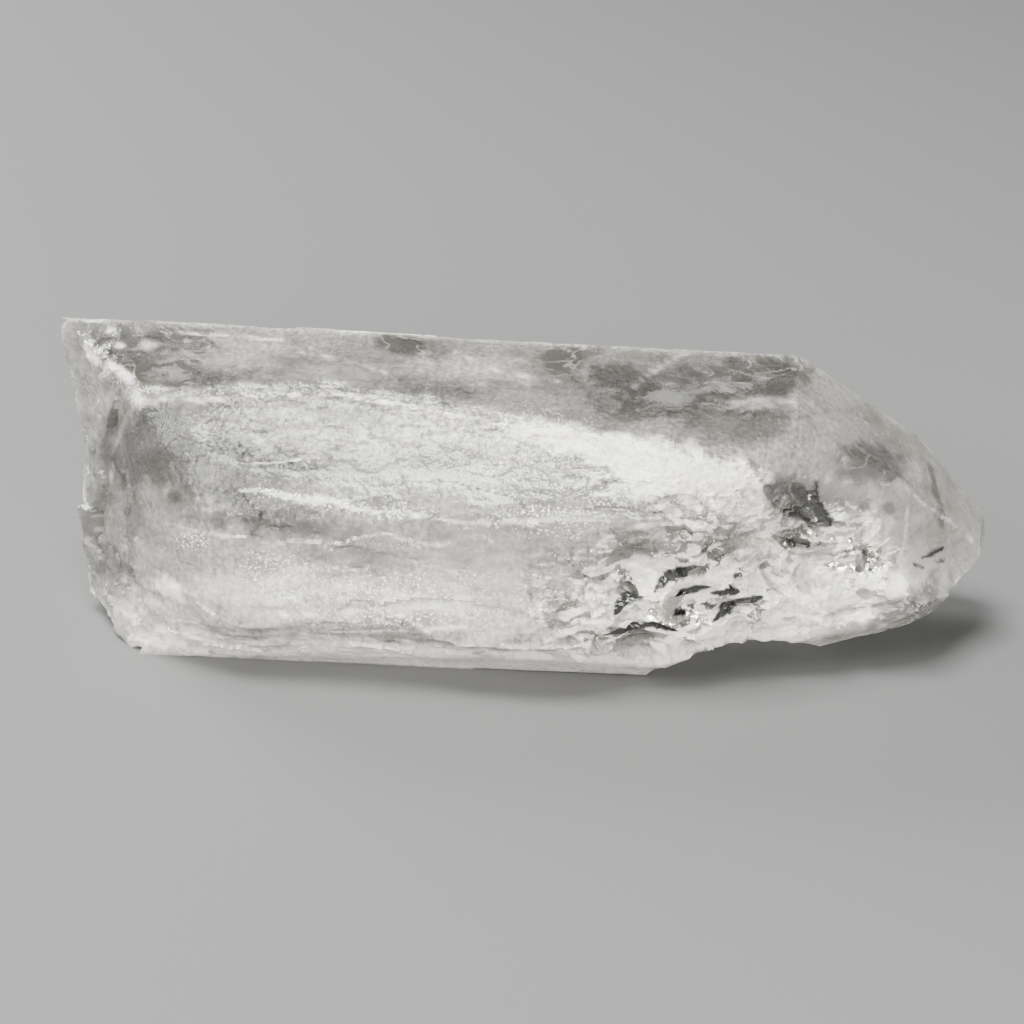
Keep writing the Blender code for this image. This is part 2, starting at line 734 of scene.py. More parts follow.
@dataclass
class Skin:
    """The crystal's surface as numbers: one row for each vertex, its place in millimetres."""

    places: np.ndarray
    normals: np.ndarray
    sight: Sight

    @cached_property
    def facing(self) -> np.ndarray:
        """How much each place faces the camera."""
        return smooth_step(self.normals @ self.sight.axes[2], -0.05, 0.15)


NARROWEST_WANDER = 0.8    # the least width, in millimetres, of the bays in a zone's edge
WANDER_SHARE = 0.6        # their width, as a share of a patch's half height
THINNEST_LINE = 0.02      # half of what a line covers at its very ends, in millimetres
TAPER_POWER = 0.7         # how bluntly a line runs out


def soft_edge(
    skin: Skin, radius: np.ndarray, size: float, ragged: float, soft: float, seed: int
) -> np.ndarray:
    """Fade a zone out across its ragged edge, on the side that the camera sees.

    Args:
        skin: the surface.
        radius: how far out each place is, 1 at the zone's edge.
        size: the width of the edge's wander in millimetres.
        ragged: how far the edge wanders, as a share of the radius.
        soft: half the width of the fade, as a share of the radius.
        seed: which noise moves the edge.

    Returns:
        1 inside the zone and 0 outside.
    """
    inside = np.zeros(len(radius))
    near = (radius < 1.0 + soft + 2.0 * ragged) & (skin.facing > 0.0)
    wander = ragged * rough_grain(skin.places[near], max(size, NARROWEST_WANDER), 3, seed)
    inside[near] = 1.0 - smooth_step(radius[near] + wander, 1.0 - soft, 1.0 + soft)
    return inside * skin.facing


@dataclass(frozen=True)
class Patch:
    """A soft oval on the side that the camera sees.

    across and down say where it shows in the view, in pixels. wide, tall and deep are half
    its sizes in millimetres, and turn is degrees anticlockwise as seen.
    """

    across: float
    down: float
    wide: float
    tall: float
    turn: float = 0.0
    strength: float = 1.0
    ragged: float = 0.35
    soft: float = 0.35
    deep: float = 11.0

    def share(self, skin: Skin) -> np.ndarray:
        """Lay the patch on the crystal.

        Args:
            skin: the surface.

        Returns:
            How much each place belongs to the patch, from 0 to its strength.
        """
        centre = skin.sight.spot(self.across, self.down)
        right, upward, back = ((skin.places - centre) @ skin.sight.axes.T).T
        turn = math.radians(self.turn)
        along = right * math.cos(turn) + upward * math.sin(turn)
        aside = upward * math.cos(turn) - right * math.sin(turn)
        radius = np.sqrt((along / self.wide) ** 2 + (aside / self.tall) ** 2 + (back / self.deep) ** 2)
        size = WANDER_SHARE * min(self.wide, self.tall)
        seed = int(self.across)
        return soft_edge(skin, radius, size, self.ragged, self.soft, seed) * self.strength


@dataclass(frozen=True)
class Stroke:
    """A soft line on the side that the camera sees.

    route gives the places that it passes, in the view's pixels. width is half of what it
    covers, in millimetres, and taper is how much thinner it is at its two ends.
    """

    route: Route
    width: float
    strength: float = 1.0
    ragged: float = 0.4
    soft: float = 0.5
    taper: float = 0.0

    def share(self, skin: Skin) -> np.ndarray:
        """Lay the line on the crystal.

        Args:
            skin: the surface.

        Returns:
            How much each place belongs to the line, from 0 to its strength.
        """
        knots = [skin.sight.spot(*pixel) for pixel in self.route]
        radius = np.full(len(skin.places), np.inf)
        for index, (start, end) in enumerate(zip(knots[:-1], knots[1:])):
            leg = end - start
            share = np.clip((skin.places - start) @ leg / (leg @ leg), 0.0, 1.0)
            gap = np.linalg.norm(skin.places - start - share[:, None] * leg, axis=1)
            passed = (index + share) / (len(knots) - 1)
            full = np.sin(math.pi * passed) ** TAPER_POWER
            width = self.width * (1.0 - self.taper + self.taper * full)
            radius = np.minimum(radius, gap / np.maximum(width, THINNEST_LINE))
        seed = int(self.route[0][0])
        return soft_edge(skin, radius, self.width, self.ragged, self.soft, seed) * self.strength


def thin_line(route: Route, width: float, strength: float, ragged: float = 0.9) -> Stroke:
    """A broken line that runs out at both ends."""
    return Stroke(route, width, strength, ragged, soft=0.4, taper=0.8)


def scratch(route: Route, width: float, strength: float) -> Stroke:
    """A faint, broken hairline."""
    return Stroke(route, width, strength, ragged=0.9, soft=0.6, taper=0.9)


@dataclass(frozen=True)
class Shell:
    """One shell-shaped flake broken out of the surface, with faint ripples round its start.

    radius is the ball's that the scar is a part of, and depth how deep it goes. turn is
    where the blow fell, in degrees anticlockwise from the right as seen, and blow_reach how
    far from the middle, as a share of the scar's radius. ripple is the height of the
    ripples, wave their spacing, and wander how uneven the scar is.
    """

    across: float
    down: float
    radius: float
    depth: float
    turn: float = 90.0
    ripple: float = 0.012
    wave: float = 0.8
    wander: float = 0.10
    wander_size: float = 2.6
    ripple_drift: float = 0.35
    drift_size: float = 1.6
    blow_reach: float = 1.2
    margin: float = 0.4

    def cut(self, skin: Skin) -> tuple[np.ndarray, np.ndarray]:
        """Push the places that the flake took onto its rounded scar.

        Args:
            skin: the surface, which is changed.

        Returns:
            The rows of those places, and how deep each was cut.
        """
        spot = skin.sight.spot(self.across, self.down)
        normal = skin.sight.calm_normal(spot)
        turn = math.radians(self.turn)
        right, upward, _ = skin.sight.axes
        side = right * math.cos(turn) + upward * math.sin(turn)
        centre = spot + normal * (self.radius - self.depth)
        gap = np.linalg.norm(skin.places - centre, axis=1)
        rows = np.flatnonzero((gap < self.radius + self.margin) & (skin.facing > 0.0))
        places, gap = skin.places[rows], gap[rows]
        rim = math.sqrt(2.0 * self.radius * self.depth)
        blow = spot + rim * self.blow_reach * side
        ring = np.linalg.norm(places - blow, axis=1)
        shift = self.ripple_drift * grain(places, self.drift_size, seed=int(self.down))
        ripple = self.ripple * np.sin(math.tau * (ring / self.wave + shift))
        reach = self.radius + ripple * smooth_step(ring, 0.0, rim)
        reach += self.wander * rough_grain(places, self.wander_size, 2, seed=int(self.across))
        depth = np.maximum(reach - gap, 0.0)
        skin.places[rows] += (places - centre) / gap[:, None] * depth[:, None]
        return rows[depth > 0.0], depth[depth > 0.0]


class Zone(Enum):
    """The parts of the crystal's surface, by what is done there. They overlap."""

    RIM = "rims worn right down"
    EDGE = "edges rounded"
    BROKEN = "broken ground, which takes the finest mesh"
    FRONT = "everything below the ridge"
    ROOT = "the broken root end"
    HIDDEN = "all that the camera does not see"
    FOOT = "the rough lower edge"
    CREST = "thin raised lines"
    # Painted shade: facets painted black.
    BLACK = "where some facets are black"
    # Painted highlights and painted internal reflections: facets painted white.
    WHITE = "where some facets are white"
    RIDGE = "the scaly ridge and its neighbours"
    SCALY = "overlapping scales"
    FIBROUS = "upright fibres on the broken root"
    # Clear windows whose tone is also darkened: that dark is painted shade.
    WINDOW = "clear and dark"
    GLASSY = "clear, over broken ground"
    # Partly the crystal's own white mist, needles and streaks; partly painted highlights and painted
    # internal reflections on the ridge, edges, point and belly, and painted light on the down-facing foot.
    PALE = "bright white"
    DUSKY = "dull grey"
    # Painted shade: gaps whose dark is painted into the tone.
    SLIT = "black gaps"
    SILVER = "cracks that mirror"
    # Painted glints: white dots painted into the colour.
    GLINT = "sparkling dots"


# Routes that several marks follow, in the view's pixels.
ROOT_RIM = ((62, 325), (87, 351), (128, 378), (138, 400))
RIDGE_CREST = ((140, 402), (205, 400), (330, 393), (400, 404), (500, 425), (600, 438))
SHORT_NEEDLE = ((240, 463), (280, 462), (320, 458))
WHOLE_RIDGE = (
    (215, 399), (270, 396), (330, 393), (400, 404),
    (500, 425), (600, 438), (700, 460), (760, 470),
)
LONG_NEEDLE = ((235, 490), (262, 491), (300, 500), (335, 503), (372, 512), (400, 513), (445, 521))

# Where each zone lies. A patch gives its place in the view and half its sizes, and a line
# gives its route and width.
MARKS: dict[Zone, dict[str, Patch | Stroke]] = {
    Zone.RIM: {
        "between the scoops": Patch(752, 540, 11.0, 10.5, ragged=0.1, soft=0.2),
        "round the belly": Patch(650, 580, 13.0, 7.0, ragged=0.1, soft=0.2),
        "round the point": Patch(850, 545, 8.0, 7.0, ragged=0.1, soft=0.2),
        "down the root corner": Stroke(((150, 440), (172, 490), (172, 640)), 4.2, ragged=0.1, soft=0.4),
        "along the foot": Stroke(
            ((110, 648), (330, 648), (450, 655), (560, 662), (640, 660)),
            2.4, ragged=0.1, soft=0.4,
        ),
        "under the ridge": Stroke(
            ((175, 470), (240, 486), (400, 492), (545, 474)),
            2.0, ragged=0.1, soft=0.4,
        ),
    },
    Zone.EDGE: {
        "across the front": Stroke(((175, 486), (330, 495), (500, 508), (730, 526)), 1.6, ragged=0.3),
        "along the foot": Stroke(((110, 645), (330, 648), (450, 655)), 1.6, ragged=0.3),
        "upper left of the front": Patch(290, 440, 12.0, 5.0),
    },
    Zone.BROKEN: {
        "point": Patch(812, 560, 9.5, 7.0, ragged=0.2, soft=0.2),
        "between the scoops": Patch(735, 565, 12.0, 8.0, ragged=0.2, soft=0.2),
        "belly": Patch(640, 600, 10.5, 6.5, ragged=0.2, soft=0.2),
    },
    Zone.RIDGE: {
        "whole ridge": Stroke(WHOLE_RIDGE, 1.2),
    },
    Zone.SCALY: {
        "upper left of the front": Patch(285, 430, 7.0, 3.6),
        "middle of the ridge": Patch(420, 425, 9.0, 1.8, turn=-10, strength=0.8),
        "right of the middle": Patch(560, 452, 8.0, 2.4, turn=-14, strength=0.8),
        "right end": Patch(680, 480, 8.0, 3.4, turn=-14, strength=0.8),
    },
    Zone.FRONT: {
        "prism face": Patch(400, 550, 42.0, 11.5, turn=-2, ragged=0.0, soft=0.1, deep=40.0),
        "beside the tip": Patch(900, 545, 8.0, 9.0, ragged=0.0, soft=0.1, deep=40.0),
    },
    Zone.ROOT: {
        "root end": Patch(95, 490, 6.0, 19.0, ragged=0.1, soft=0.3),
    },
    Zone.FOOT: {
        "left of the belly": Stroke(
            ((120, 620), (200, 640), (330, 646), (450, 652), (560, 655), (640, 655)),
            1.8, ragged=0.2,
        ),
        "under the point": Stroke(
            ((700, 652), (760, 636), (830, 630), (900, 612), (940, 580)),
            1.0, ragged=0.2,
        ),
        "lower root corner": Patch(140, 600, 4.0, 3.0),
    },
    Zone.CREST: {
        "short needle": Stroke(SHORT_NEEDLE, 0.35, ragged=0.3, taper=0.9),
        "long needle": Stroke(LONG_NEEDLE, 0.42, ragged=0.7, taper=0.8),
        "low needle": Stroke(((300, 556), (380, 548), (470, 560)), 0.5, strength=0.6, soft=0.6, taper=0.8),
        "edge of the tip face": Stroke(
            ((903, 485), (925, 502), (950, 522), (976, 545)),
            0.4, strength=0.5, taper=0.8,
        ),
        "rim of the root flake": Stroke(
            ((150, 560), (168, 588), (200, 606), (300, 602)),
            0.8, strength=0.9, soft=0.6, taper=0.7,
        ),
        "crest of the ridge": Stroke(RIDGE_CREST, 0.5, strength=0.8),
    },
    # Facets painted black, as painted shade, and the dark window.
    Zone.BLACK: {
        "belly": Patch(680, 606, 9.0, 4.6, strength=0.85, ragged=0.2, soft=0.4),
        "dark window": Patch(800, 505, 4.0, 2.4, turn=-20, strength=0.8),
    },
    # Facets painted white, as painted highlights and painted internal reflections.
    Zone.WHITE: {
        "belly": Patch(690, 610, 12.0, 6.0, strength=0.9),
        "point": Patch(820, 562, 8.0, 5.6),
        "ridge": Patch(660, 480, 12.0, 4.0, turn=-14, strength=0.7),
    },
    Zone.FIBROUS: {
        "root end": Patch(105, 480, 5.0, 13.0),
    },
    # Clear windows; their dark is painted shade in the tone.
    Zone.WINDOW: {
        "root window": Patch(150, 360, 5.8, 3.4, turn=-12),
        "beside the root window": Patch(188, 342, 2.4, 1.8, strength=0.8),
        "left on the back edge": Patch(396, 343, 2.6, 1.1, turn=-8, strength=0.8),
        "middle of the back edge": Patch(560, 361, 2.4, 1.9, strength=0.8),
        "big window": Patch(700, 388, 8.0, 2.4, turn=8, strength=0.7),
        "right end of the big window": Patch(768, 374, 4.0, 2.1, strength=0.95),
        "tail of the left one": Patch(420, 350, 3.4, 1.0, turn=-14, strength=0.6),
        "tail of the middle one": Patch(585, 352, 2.4, 0.8, turn=10, strength=0.6),
        "below the big window": Patch(745, 412, 2.6, 0.7, strength=0.3),
        "left end of the big window": Patch(640, 402, 3.4, 1.4, turn=25, strength=0.6),
        "upper face of the point": Patch(868, 462, 4.4, 2.1, turn=-5, strength=0.6),
        "dark window": Patch(800, 503, 3.4, 2.0, turn=-35, ragged=0.25, soft=0.2),
        "between the scoops": Patch(722, 562, 3.0, 2.0, strength=0.5),
        "upright streak by the tip": Stroke(((931, 468), (936, 495), (942, 524)), 0.55, strength=0.7),
    },
    Zone.GLASSY: {
        "under the dark window": Patch(800, 530, 5.0, 3.0, strength=0.5),
        "left of the belly": Patch(590, 625, 6.0, 3.0, strength=0.4),
    },
    Zone.PALE: {
        # Painted highlights: the bright end, middle and foot of the ridge.
        "white end of the ridge": Patch(680, 472, 9.0, 2.8, turn=-18),
        "middle of the ridge": Patch(590, 444, 8.0, 1.5, turn=-14, strength=0.9),
        "foot of the ridge": Patch(745, 498, 4.5, 2.6, turn=-20, strength=0.7),
        "scales": Patch(285, 428, 6.5, 3.0, strength=0.12),
        "root flake": Patch(168, 588, 2.0, 0.9, turn=-35),
        # Painted light: the lower, down-facing faces made paler.
        "lower root corner": Patch(160, 620, 7.0, 3.0, turn=-20, strength=0.35),
        "low on the left": Patch(320, 600, 14.0, 3.0, turn=-2, strength=0.45),
        "low in the middle": Patch(500, 600, 12.0, 3.4, turn=-2, strength=0.35),
        "foot": Patch(400, 656, 30.0, 1.8, turn=-3, strength=0.9),
        "foot under the belly": Patch(620, 655, 10.0, 1.6, turn=2, strength=0.7),
        "high in the middle": Patch(430, 460, 14.0, 3.0, turn=-8, strength=0.1),
        # Painted internal reflections: the white heart of the point and the white belly, with painted
        # highlights on the tip face's edges.
        "heart of the point": Patch(828, 578, 6.8, 3.8),
        "left of the heart": Patch(785, 545, 3.0, 2.4, strength=0.8),
        "tip face": Patch(935, 545, 4.0, 4.0, strength=0.1),
        "edge of the tip face": Stroke(
            ((903, 485), (922, 503), (950, 521), (976, 545)),
            0.2, strength=0.55, ragged=0.8, taper=0.8,
        ),
        "left side of the tip face": Stroke(
            ((908, 505), (905, 540), (890, 585)),
            0.2, strength=0.4, ragged=0.9, taper=0.8,
        ),
        "right of the heart": Patch(865, 545, 3.0, 3.4, turn=-10, strength=0.7),
        "lower edge of the point": Patch(790, 628, 9.0, 1.6, turn=6, strength=0.8),
        "belly": Patch(700, 600, 4.6, 2.0),
        "upper left of the belly": Patch(672, 590, 3.6, 1.6),
        "bar in the belly": Patch(690, 612, 5.0, 1.2, turn=12),
        "left flake of the belly": Patch(610, 600, 1.2, 2.4, turn=-20),
        "round the heart": Patch(820, 560, 6.0, 3.0, strength=0.4),
        "bar over the heart": Patch(800, 535, 4.0, 1.4, strength=0.9),
        "lower left of the belly": Patch(640, 612, 3.0, 1.4, strength=0.9),
        "bottom of the belly": Patch(668, 622, 5.0, 1.4, turn=10, strength=0.8),
        "lower edge of the belly": Patch(720, 640, 5.0, 1.6, turn=10, strength=0.6),
        "upper flake of the belly": Patch(605, 590, 3.0, 2.0, turn=60, strength=0.6),
        "spot between the scoops": Patch(747, 557, 1.2, 1.3),
        "first spot by the root": Patch(120, 345, 0.7, 0.45, turn=10, strength=0.7, ragged=0.6, soft=0.6),
        "second spot by the root": Patch(147, 345, 0.7, 0.5, turn=-10, strength=0.7, ragged=0.6, soft=0.6),
        "third spot by the root": Patch(111, 331, 0.5, 0.3, strength=0.7, ragged=0.6, soft=0.6),
        "veil in the big window": Patch(752, 402, 3.4, 0.7, turn=5, strength=0.35, ragged=0.9, soft=0.6),
        # Painted highlights along the root's rims, the ridge's crest and the edge over the point.
        "upper rim of the root": Stroke(ROOT_RIM, 0.55, strength=0.9),
        "front rim of the root": Stroke(((138, 400), (118, 440), (110, 480)), 0.4, strength=0.3),
        "crest of the ridge": Stroke(RIDGE_CREST, 0.22, strength=0.8, ragged=0.9, soft=0.4),
        "edge over the point": Stroke(
            ((760, 470), (835, 481), (903, 485)),
            0.12, strength=0.5, ragged=0.6, soft=0.4, taper=0.7,
        ),
        "short needle": Stroke(SHORT_NEEDLE, 0.2, strength=0.9, soft=0.4, taper=0.9),
        "long needle": thin_line(LONG_NEEDLE, 0.24, 0.9),
        "tail of the long needle": thin_line(((400, 515), (470, 523), (560, 520), (640, 521)), 0.2, 0.7),
        "edge over the belly": Stroke(((600, 543), (640, 526), (690, 522)), 0.3, strength=0.7),
        "first low streak": thin_line(((280, 616), (400, 608), (540, 596)), 0.25, 0.8),
        "second low streak": thin_line(((330, 632), (450, 628), (570, 618)), 0.25, 0.8),
        "third low streak": thin_line(((190, 636), (330, 650), (500, 656)), 0.3, 0.8),
        "streak under the belly": thin_line(((560, 650), (640, 648), (720, 632)), 0.3, 0.9),
        "arc across the point": thin_line(((770, 560), (830, 566), (890, 562)), 0.3, 1.0),
        "arc down the point": thin_line(((835, 520), (850, 545), (856, 590)), 0.4, 0.9),
        "upright line in the point": thin_line(((780, 520), (784, 545), (790, 565)), 0.35, 1.0),
        "swirl in the big window": Stroke(
            ((612, 412), (640, 380), (680, 355), (720, 343)),
            0.26, strength=0.3, ragged=0.3, soft=0.8, taper=0.8,
        ),
        "second swirl in the big window": Stroke(
            ((690, 362), (715, 380), (735, 398)),
            0.2, strength=0.3, ragged=0.3, soft=0.8, taper=0.8,
        ),
        "scratch by the root window": scratch(((160, 332), (260, 338), (340, 346)), 0.14, 0.5),
        "scratch on the left": scratch(((300, 352), (345, 360), (390, 374)), 0.12, 0.5),
        "scratch in the middle": scratch(((450, 350), (500, 372), (560, 382)), 0.14, 0.5),
        "scratch over the point": scratch(((818, 372), (850, 400), (880, 440)), 0.14, 0.4),
        "cloud on the left": Patch(250, 350, 6.0, 1.6, strength=0.14, ragged=0.7, soft=0.5),
        "lower cloud on the left": Patch(330, 377, 5.0, 1.2, turn=-4, strength=0.12, ragged=0.7, soft=0.5),
        "cloud in the middle": Patch(475, 366, 5.0, 1.6, turn=-6, strength=0.16, ragged=0.7, soft=0.5),
    },
    Zone.DUSKY: {
        "under the long needle": Patch(285, 520, 6.4, 2.2, turn=-10, strength=0.6, ragged=0.6, soft=0.5),
        "first arc in the point": thin_line(
            ((765, 546), (800, 555), (850, 556), (890, 550)),
            0.2, 0.9, ragged=0.8,
        ),
        "second arc in the point": thin_line(((780, 538), (830, 545), (885, 540)), 0.16, 0.8, ragged=0.8),
        "crack down the point": thin_line(((806, 560), (812, 580), (826, 600)), 0.2, 0.9, ragged=0.8),
        "right side of the point": thin_line(((872, 520), (866, 550), (872, 590)), 0.3, 0.8, ragged=0.8),
        "beside the tip face": thin_line(((884, 515), (880, 545), (884, 575)), 0.25, 0.7, ragged=0.8),
        "lower arc in the point": thin_line(
            ((750, 590), (790, 604), (850, 610), (890, 600)),
            0.25, 0.8, ragged=0.8,
        ),
        "lowest arc in the point": thin_line(((770, 615), (820, 622), (870, 614)), 0.25, 0.7, ragged=0.8),
        "first low streak": thin_line(((300, 624), (420, 618), (560, 606)), 0.3, 0.7),
        "second low streak": thin_line(((240, 640), (360, 642), (520, 640)), 0.3, 0.7),
        "first fan line": thin_line(((520, 590), (560, 606), (590, 630)), 0.25, 0.6, ragged=0.8),
        "second fan line": thin_line(((510, 610), (550, 622), (580, 645)), 0.25, 0.6, ragged=0.8),
        "upper root corner": Patch(130, 440, 6.0, 4.0, strength=0.5),
        "upper left of the front": Patch(185, 440, 7.0, 4.4, strength=0.55),
        "left of the front": Patch(215, 470, 9.0, 3.0, strength=0.7),
        "root end": Patch(110, 520, 5.0, 9.0, strength=0.6),
        "top face over the point": Patch(750, 425, 6.0, 2.0, strength=0.2),
        "left of the long needle": Patch(230, 505, 9.0, 2.4, strength=0.4),
        "over the long needle": Patch(330, 480, 8.0, 1.6, turn=-4, strength=0.3),
        "under the ridge": Patch(560, 482, 8.0, 1.8, turn=-8, strength=0.3),
        "upper left of the belly": Patch(640, 572, 4.0, 2.6, strength=0.4),
        "between the scoops": Patch(722, 562, 3.4, 2.4, strength=0.4),
        "round the big window": Patch(690, 388, 12.0, 3.4, strength=0.4),
        "round the window of the point": Patch(870, 455, 6.0, 3.0, strength=0.3),
        "lower edge by the tip": Patch(912, 606, 3.6, 1.4, turn=25, strength=0.7),
        "tip face": Patch(935, 550, 3.4, 3.4, strength=0.08),
        "left of the foot": Patch(240, 643, 9.0, 0.9, turn=-2, strength=0.4),
        "line over the point": Stroke(((812, 412), (850, 410), (880, 409)), 0.3, strength=0.3),
        "top face on the left": Patch(205, 380, 4.0, 1.0, strength=0.4, ragged=0.7, soft=0.5),
        "top face in the middle": Patch(425, 388, 5.0, 1.0, turn=-6, strength=0.36, ragged=0.7, soft=0.5),
        "left of the big window": Patch(612, 374, 3.0, 1.4, strength=0.36, ragged=0.7, soft=0.5),
    },
    # Gaps painted black, as painted shade, and the dark window.
    Zone.SLIT: {
        "long slit under the belly": Stroke(
            ((585, 650), (612, 641), (640, 629), (655, 627), (678, 633)),
            0.5, ragged=0.35, soft=0.3, taper=0.9,
        ),
        "left slit": Stroke(((616, 616), (628, 603), (642, 597)), 0.75, ragged=0.35, soft=0.3, taper=0.8),
        "upper slit": Stroke(
            ((655, 592), (668, 581), (684, 577), (700, 575)),
            0.7, ragged=0.5, soft=0.3, taper=0.8,
        ),
        "middle slit": Stroke(((678, 600), (692, 596), (712, 591)), 0.55, soft=0.3, taper=0.8),
        "right of the middle slit": Stroke(((712, 598), (725, 594), (742, 595)), 0.55, soft=0.3, taper=0.7),
        "lower right slit": Stroke(
            ((714, 626), (730, 614), (748, 605), (768, 599)),
            0.65, soft=0.3, taper=0.9,
        ),
        "side of the dark window": Stroke(
            ((815, 480), (826, 505), (835, 528)),
            0.18, ragged=0.3, soft=0.3, taper=0.5,
        ),
        "dark window": Stroke(
            ((768, 489), (800, 502), (831, 524)),
            1.9, strength=0.85, ragged=0.15, soft=0.2, taper=0.7,
        ),
        "slit by the tip": Stroke(
            ((923, 558), (935, 552), (946, 547)),
            0.3, ragged=0.6, soft=0.3, taper=0.8,
        ),
        "small slit by the tip": Stroke(
            ((914, 563), (926, 568)),
            0.22, strength=0.9, ragged=0.6, soft=0.3, taper=0.5,
        ),
        "first arc in the point": thin_line(
            ((772, 534), (788, 544), (812, 549), (842, 545)),
            0.34, 0.75, ragged=0.5,
        ),
        "second arc in the point": thin_line(((792, 556), (822, 558), (856, 550)), 0.24, 0.6, ragged=0.5),
        "left arc in the point": thin_line(((765, 566), (772, 584), (790, 600)), 0.26, 0.55, ragged=0.5),
        "right arc in the point": thin_line(((868, 520), (864, 545), (870, 578)), 0.24, 0.45, ragged=0.5),
        "lowest arc in the point": thin_line(((780, 612), (830, 618), (880, 606)), 0.26, 0.45, ragged=0.5),
        "speck by the tip": Stroke(
            ((938, 562), (946, 560)),
            0.24, strength=0.9, ragged=0.6, soft=0.3, taper=0.5,
        ),
    },
    Zone.SILVER: {
        "belly": Patch(700, 606, 5.0, 2.0, strength=0.6),
        "lower belly": Patch(650, 625, 6.0, 1.4, turn=10, strength=0.55),
        "point": Patch(828, 568, 6.4, 3.6, strength=0.46),
        "right of the point": Patch(868, 545, 2.6, 3.0, strength=0.44),
        "over the point": Patch(798, 536, 3.4, 1.3, strength=0.6),
        "ridge": Patch(560, 462, 4.0, 1.2, turn=-14, strength=0.52),
    },
    # Where glints are painted as white dots.
    Zone.GLINT: {
        "high on the left": Patch(190, 541, 2.2, 0.8, turn=-5),
        "low on the left": Patch(275, 572, 4.0, 2.4),
        "low front": Patch(350, 600, 10.0, 3.0, strength=0.7),
        "middle of the front": Patch(540, 520, 6.0, 1.6, strength=0.9),
        "long needle": Stroke(((262, 491), (300, 500), (335, 503), (372, 512), (400, 513)), 0.7),
        "low in the middle": Patch(430, 600, 10.0, 3.0, strength=0.6),
        "ridge": Patch(560, 460, 12.0, 4.0, turn=-10, strength=0.6),
        "root window": Patch(150, 350, 5.0, 3.0, strength=0.4),
        "upper rim of the root": Stroke(ROOT_RIM, 1.0, strength=0.9),
    },
}


def zone_share(skin: Skin, zone: Zone) -> np.ndarray:
    """Lay out one zone.

    Args:
        skin: the surface.
        zone: which zone.

    Returns:
        How much each place belongs to it, from 0 to 1.
    """
    if zone is Zone.HIDDEN:
        return 1.0 - skin.facing
    return np.clip(sum(mark.share(skin) for mark in MARKS[zone].values()), 0.0, 1.0)


# --------------------------------------------------------------------------- working it


@dataclass(frozen=True)
class Splinters:
    """Flat facets at odd angles that meet in sharp steps, all over one zone.

    size is the width of a facet and lift how far it stands up or down, both in millimetres.
    tilt is the steepest lean, in degrees, and stretch squeezes the facets along each axis.
    tint is how much the facets differ in tone. bend is how far the facets' borders wander,
    as a share of their size, and gentlest is the least lean, as a share of the steepest.
    """

    zone: Zone
    size: float
    tilt: float
    lift: float
    stretch: Point
    seed: int
    tint: float = 0.7
    spacing_mm: float = 0.2
    bend: float = 0.3
    gentlest: float = 0.3
    fewest: int = 8
    least_share: float = 0.02

    def cut(self, skin: Skin) -> tuple[np.ndarray, np.ndarray]:
        """Lean and shift the surface, facet by facet.

        Args:
            skin: the surface, which is changed.

        Returns:
            How much of the zone each place is in, and a chance number that it shares
            with the rest of its facet.
        """
        chance = np.random.default_rng(self.seed)
        share = zone_share(skin, self.zone)
        rows = np.flatnonzero(share > self.least_share)
        places = skin.places[rows]
        bent = places * self.stretch
        for axis in range(3):
            wander = rough_grain(places, self.size, 2, self.seed + axis)
            bent[:, axis] += self.bend * self.size * wander
        count = max(int(len(rows) * self.spacing_mm**2 / self.size**2), self.fewest)
        middles = bent[chance.choice(len(rows), count, replace=False)]
        tree = KDTree(count)
        for number, middle in enumerate(middles.tolist()):
            tree.insert(middle, number)
        tree.balance()
        nearest = np.array([tree.find(place)[1] for place in bent.tolist()])
        lean = chance.normal(size=(count, 3))
        lean *= math.tan(math.radians(self.tilt)) / np.linalg.norm(lean, axis=1)[:, None]
        lean *= chance.uniform(self.gentlest, 1.0, (count, 1))
        height = np.einsum("ij,ij->i", lean[nearest], (bent - middles[nearest]))
        height += self.lift * (chance.uniform(-1.0, 1.0, count)[nearest] - 1.0)
        skin.places[rows] += skin.normals[rows] * (height * share[rows])[:, None]
        value = np.zeros(len(share))
        value[rows] = chance.uniform(-1.0, 1.0, count)[nearest]
        return share, value


@dataclass(frozen=True)
class ChipField:
    """A part of the view, in pixels, where small flakes are scattered by chance."""

    left: float
    top: float
    right: float
    bottom: float
    count: int
    radii: Pair = (1.5, 5.0)
    depths: Pair = (0.04, 0.14)
    ripple: float = 0.006
    wave: float = 0.7
    wander: float = 0.05

    def scatter(self, chance: np.random.Generator) -> list[Shell]:
        """Draw the flakes.

        Args:
            chance: what they are drawn with.

        Returns:
            The flakes.
        """
        chips = []
        for _ in range(self.count):
            across = chance.uniform(self.left, self.right)
            down = chance.uniform(self.top, self.bottom)
            radius = chance.uniform(*self.radii)
            turn = chance.uniform(0.0, 360.0)
            depth = chance.uniform(*self.depths)
            chip = Shell(across, down, radius, depth, turn, self.ripple, self.wave, self.wander)
            chips.append(chip)
        return chips


@dataclass(frozen=True)
class Grain:
    """Fractal noise in millimetres, drawn out along the axes where squeeze is below 1."""

    size: float
    octaves: int
    seed: int
    squeeze: Point = (1.0, 1.0, 1.0)

    def read(self, places: np.ndarray) -> np.ndarray:
        """One number for each place."""
        return rough_grain(places * self.squeeze, self.size, self.octaves, self.seed)


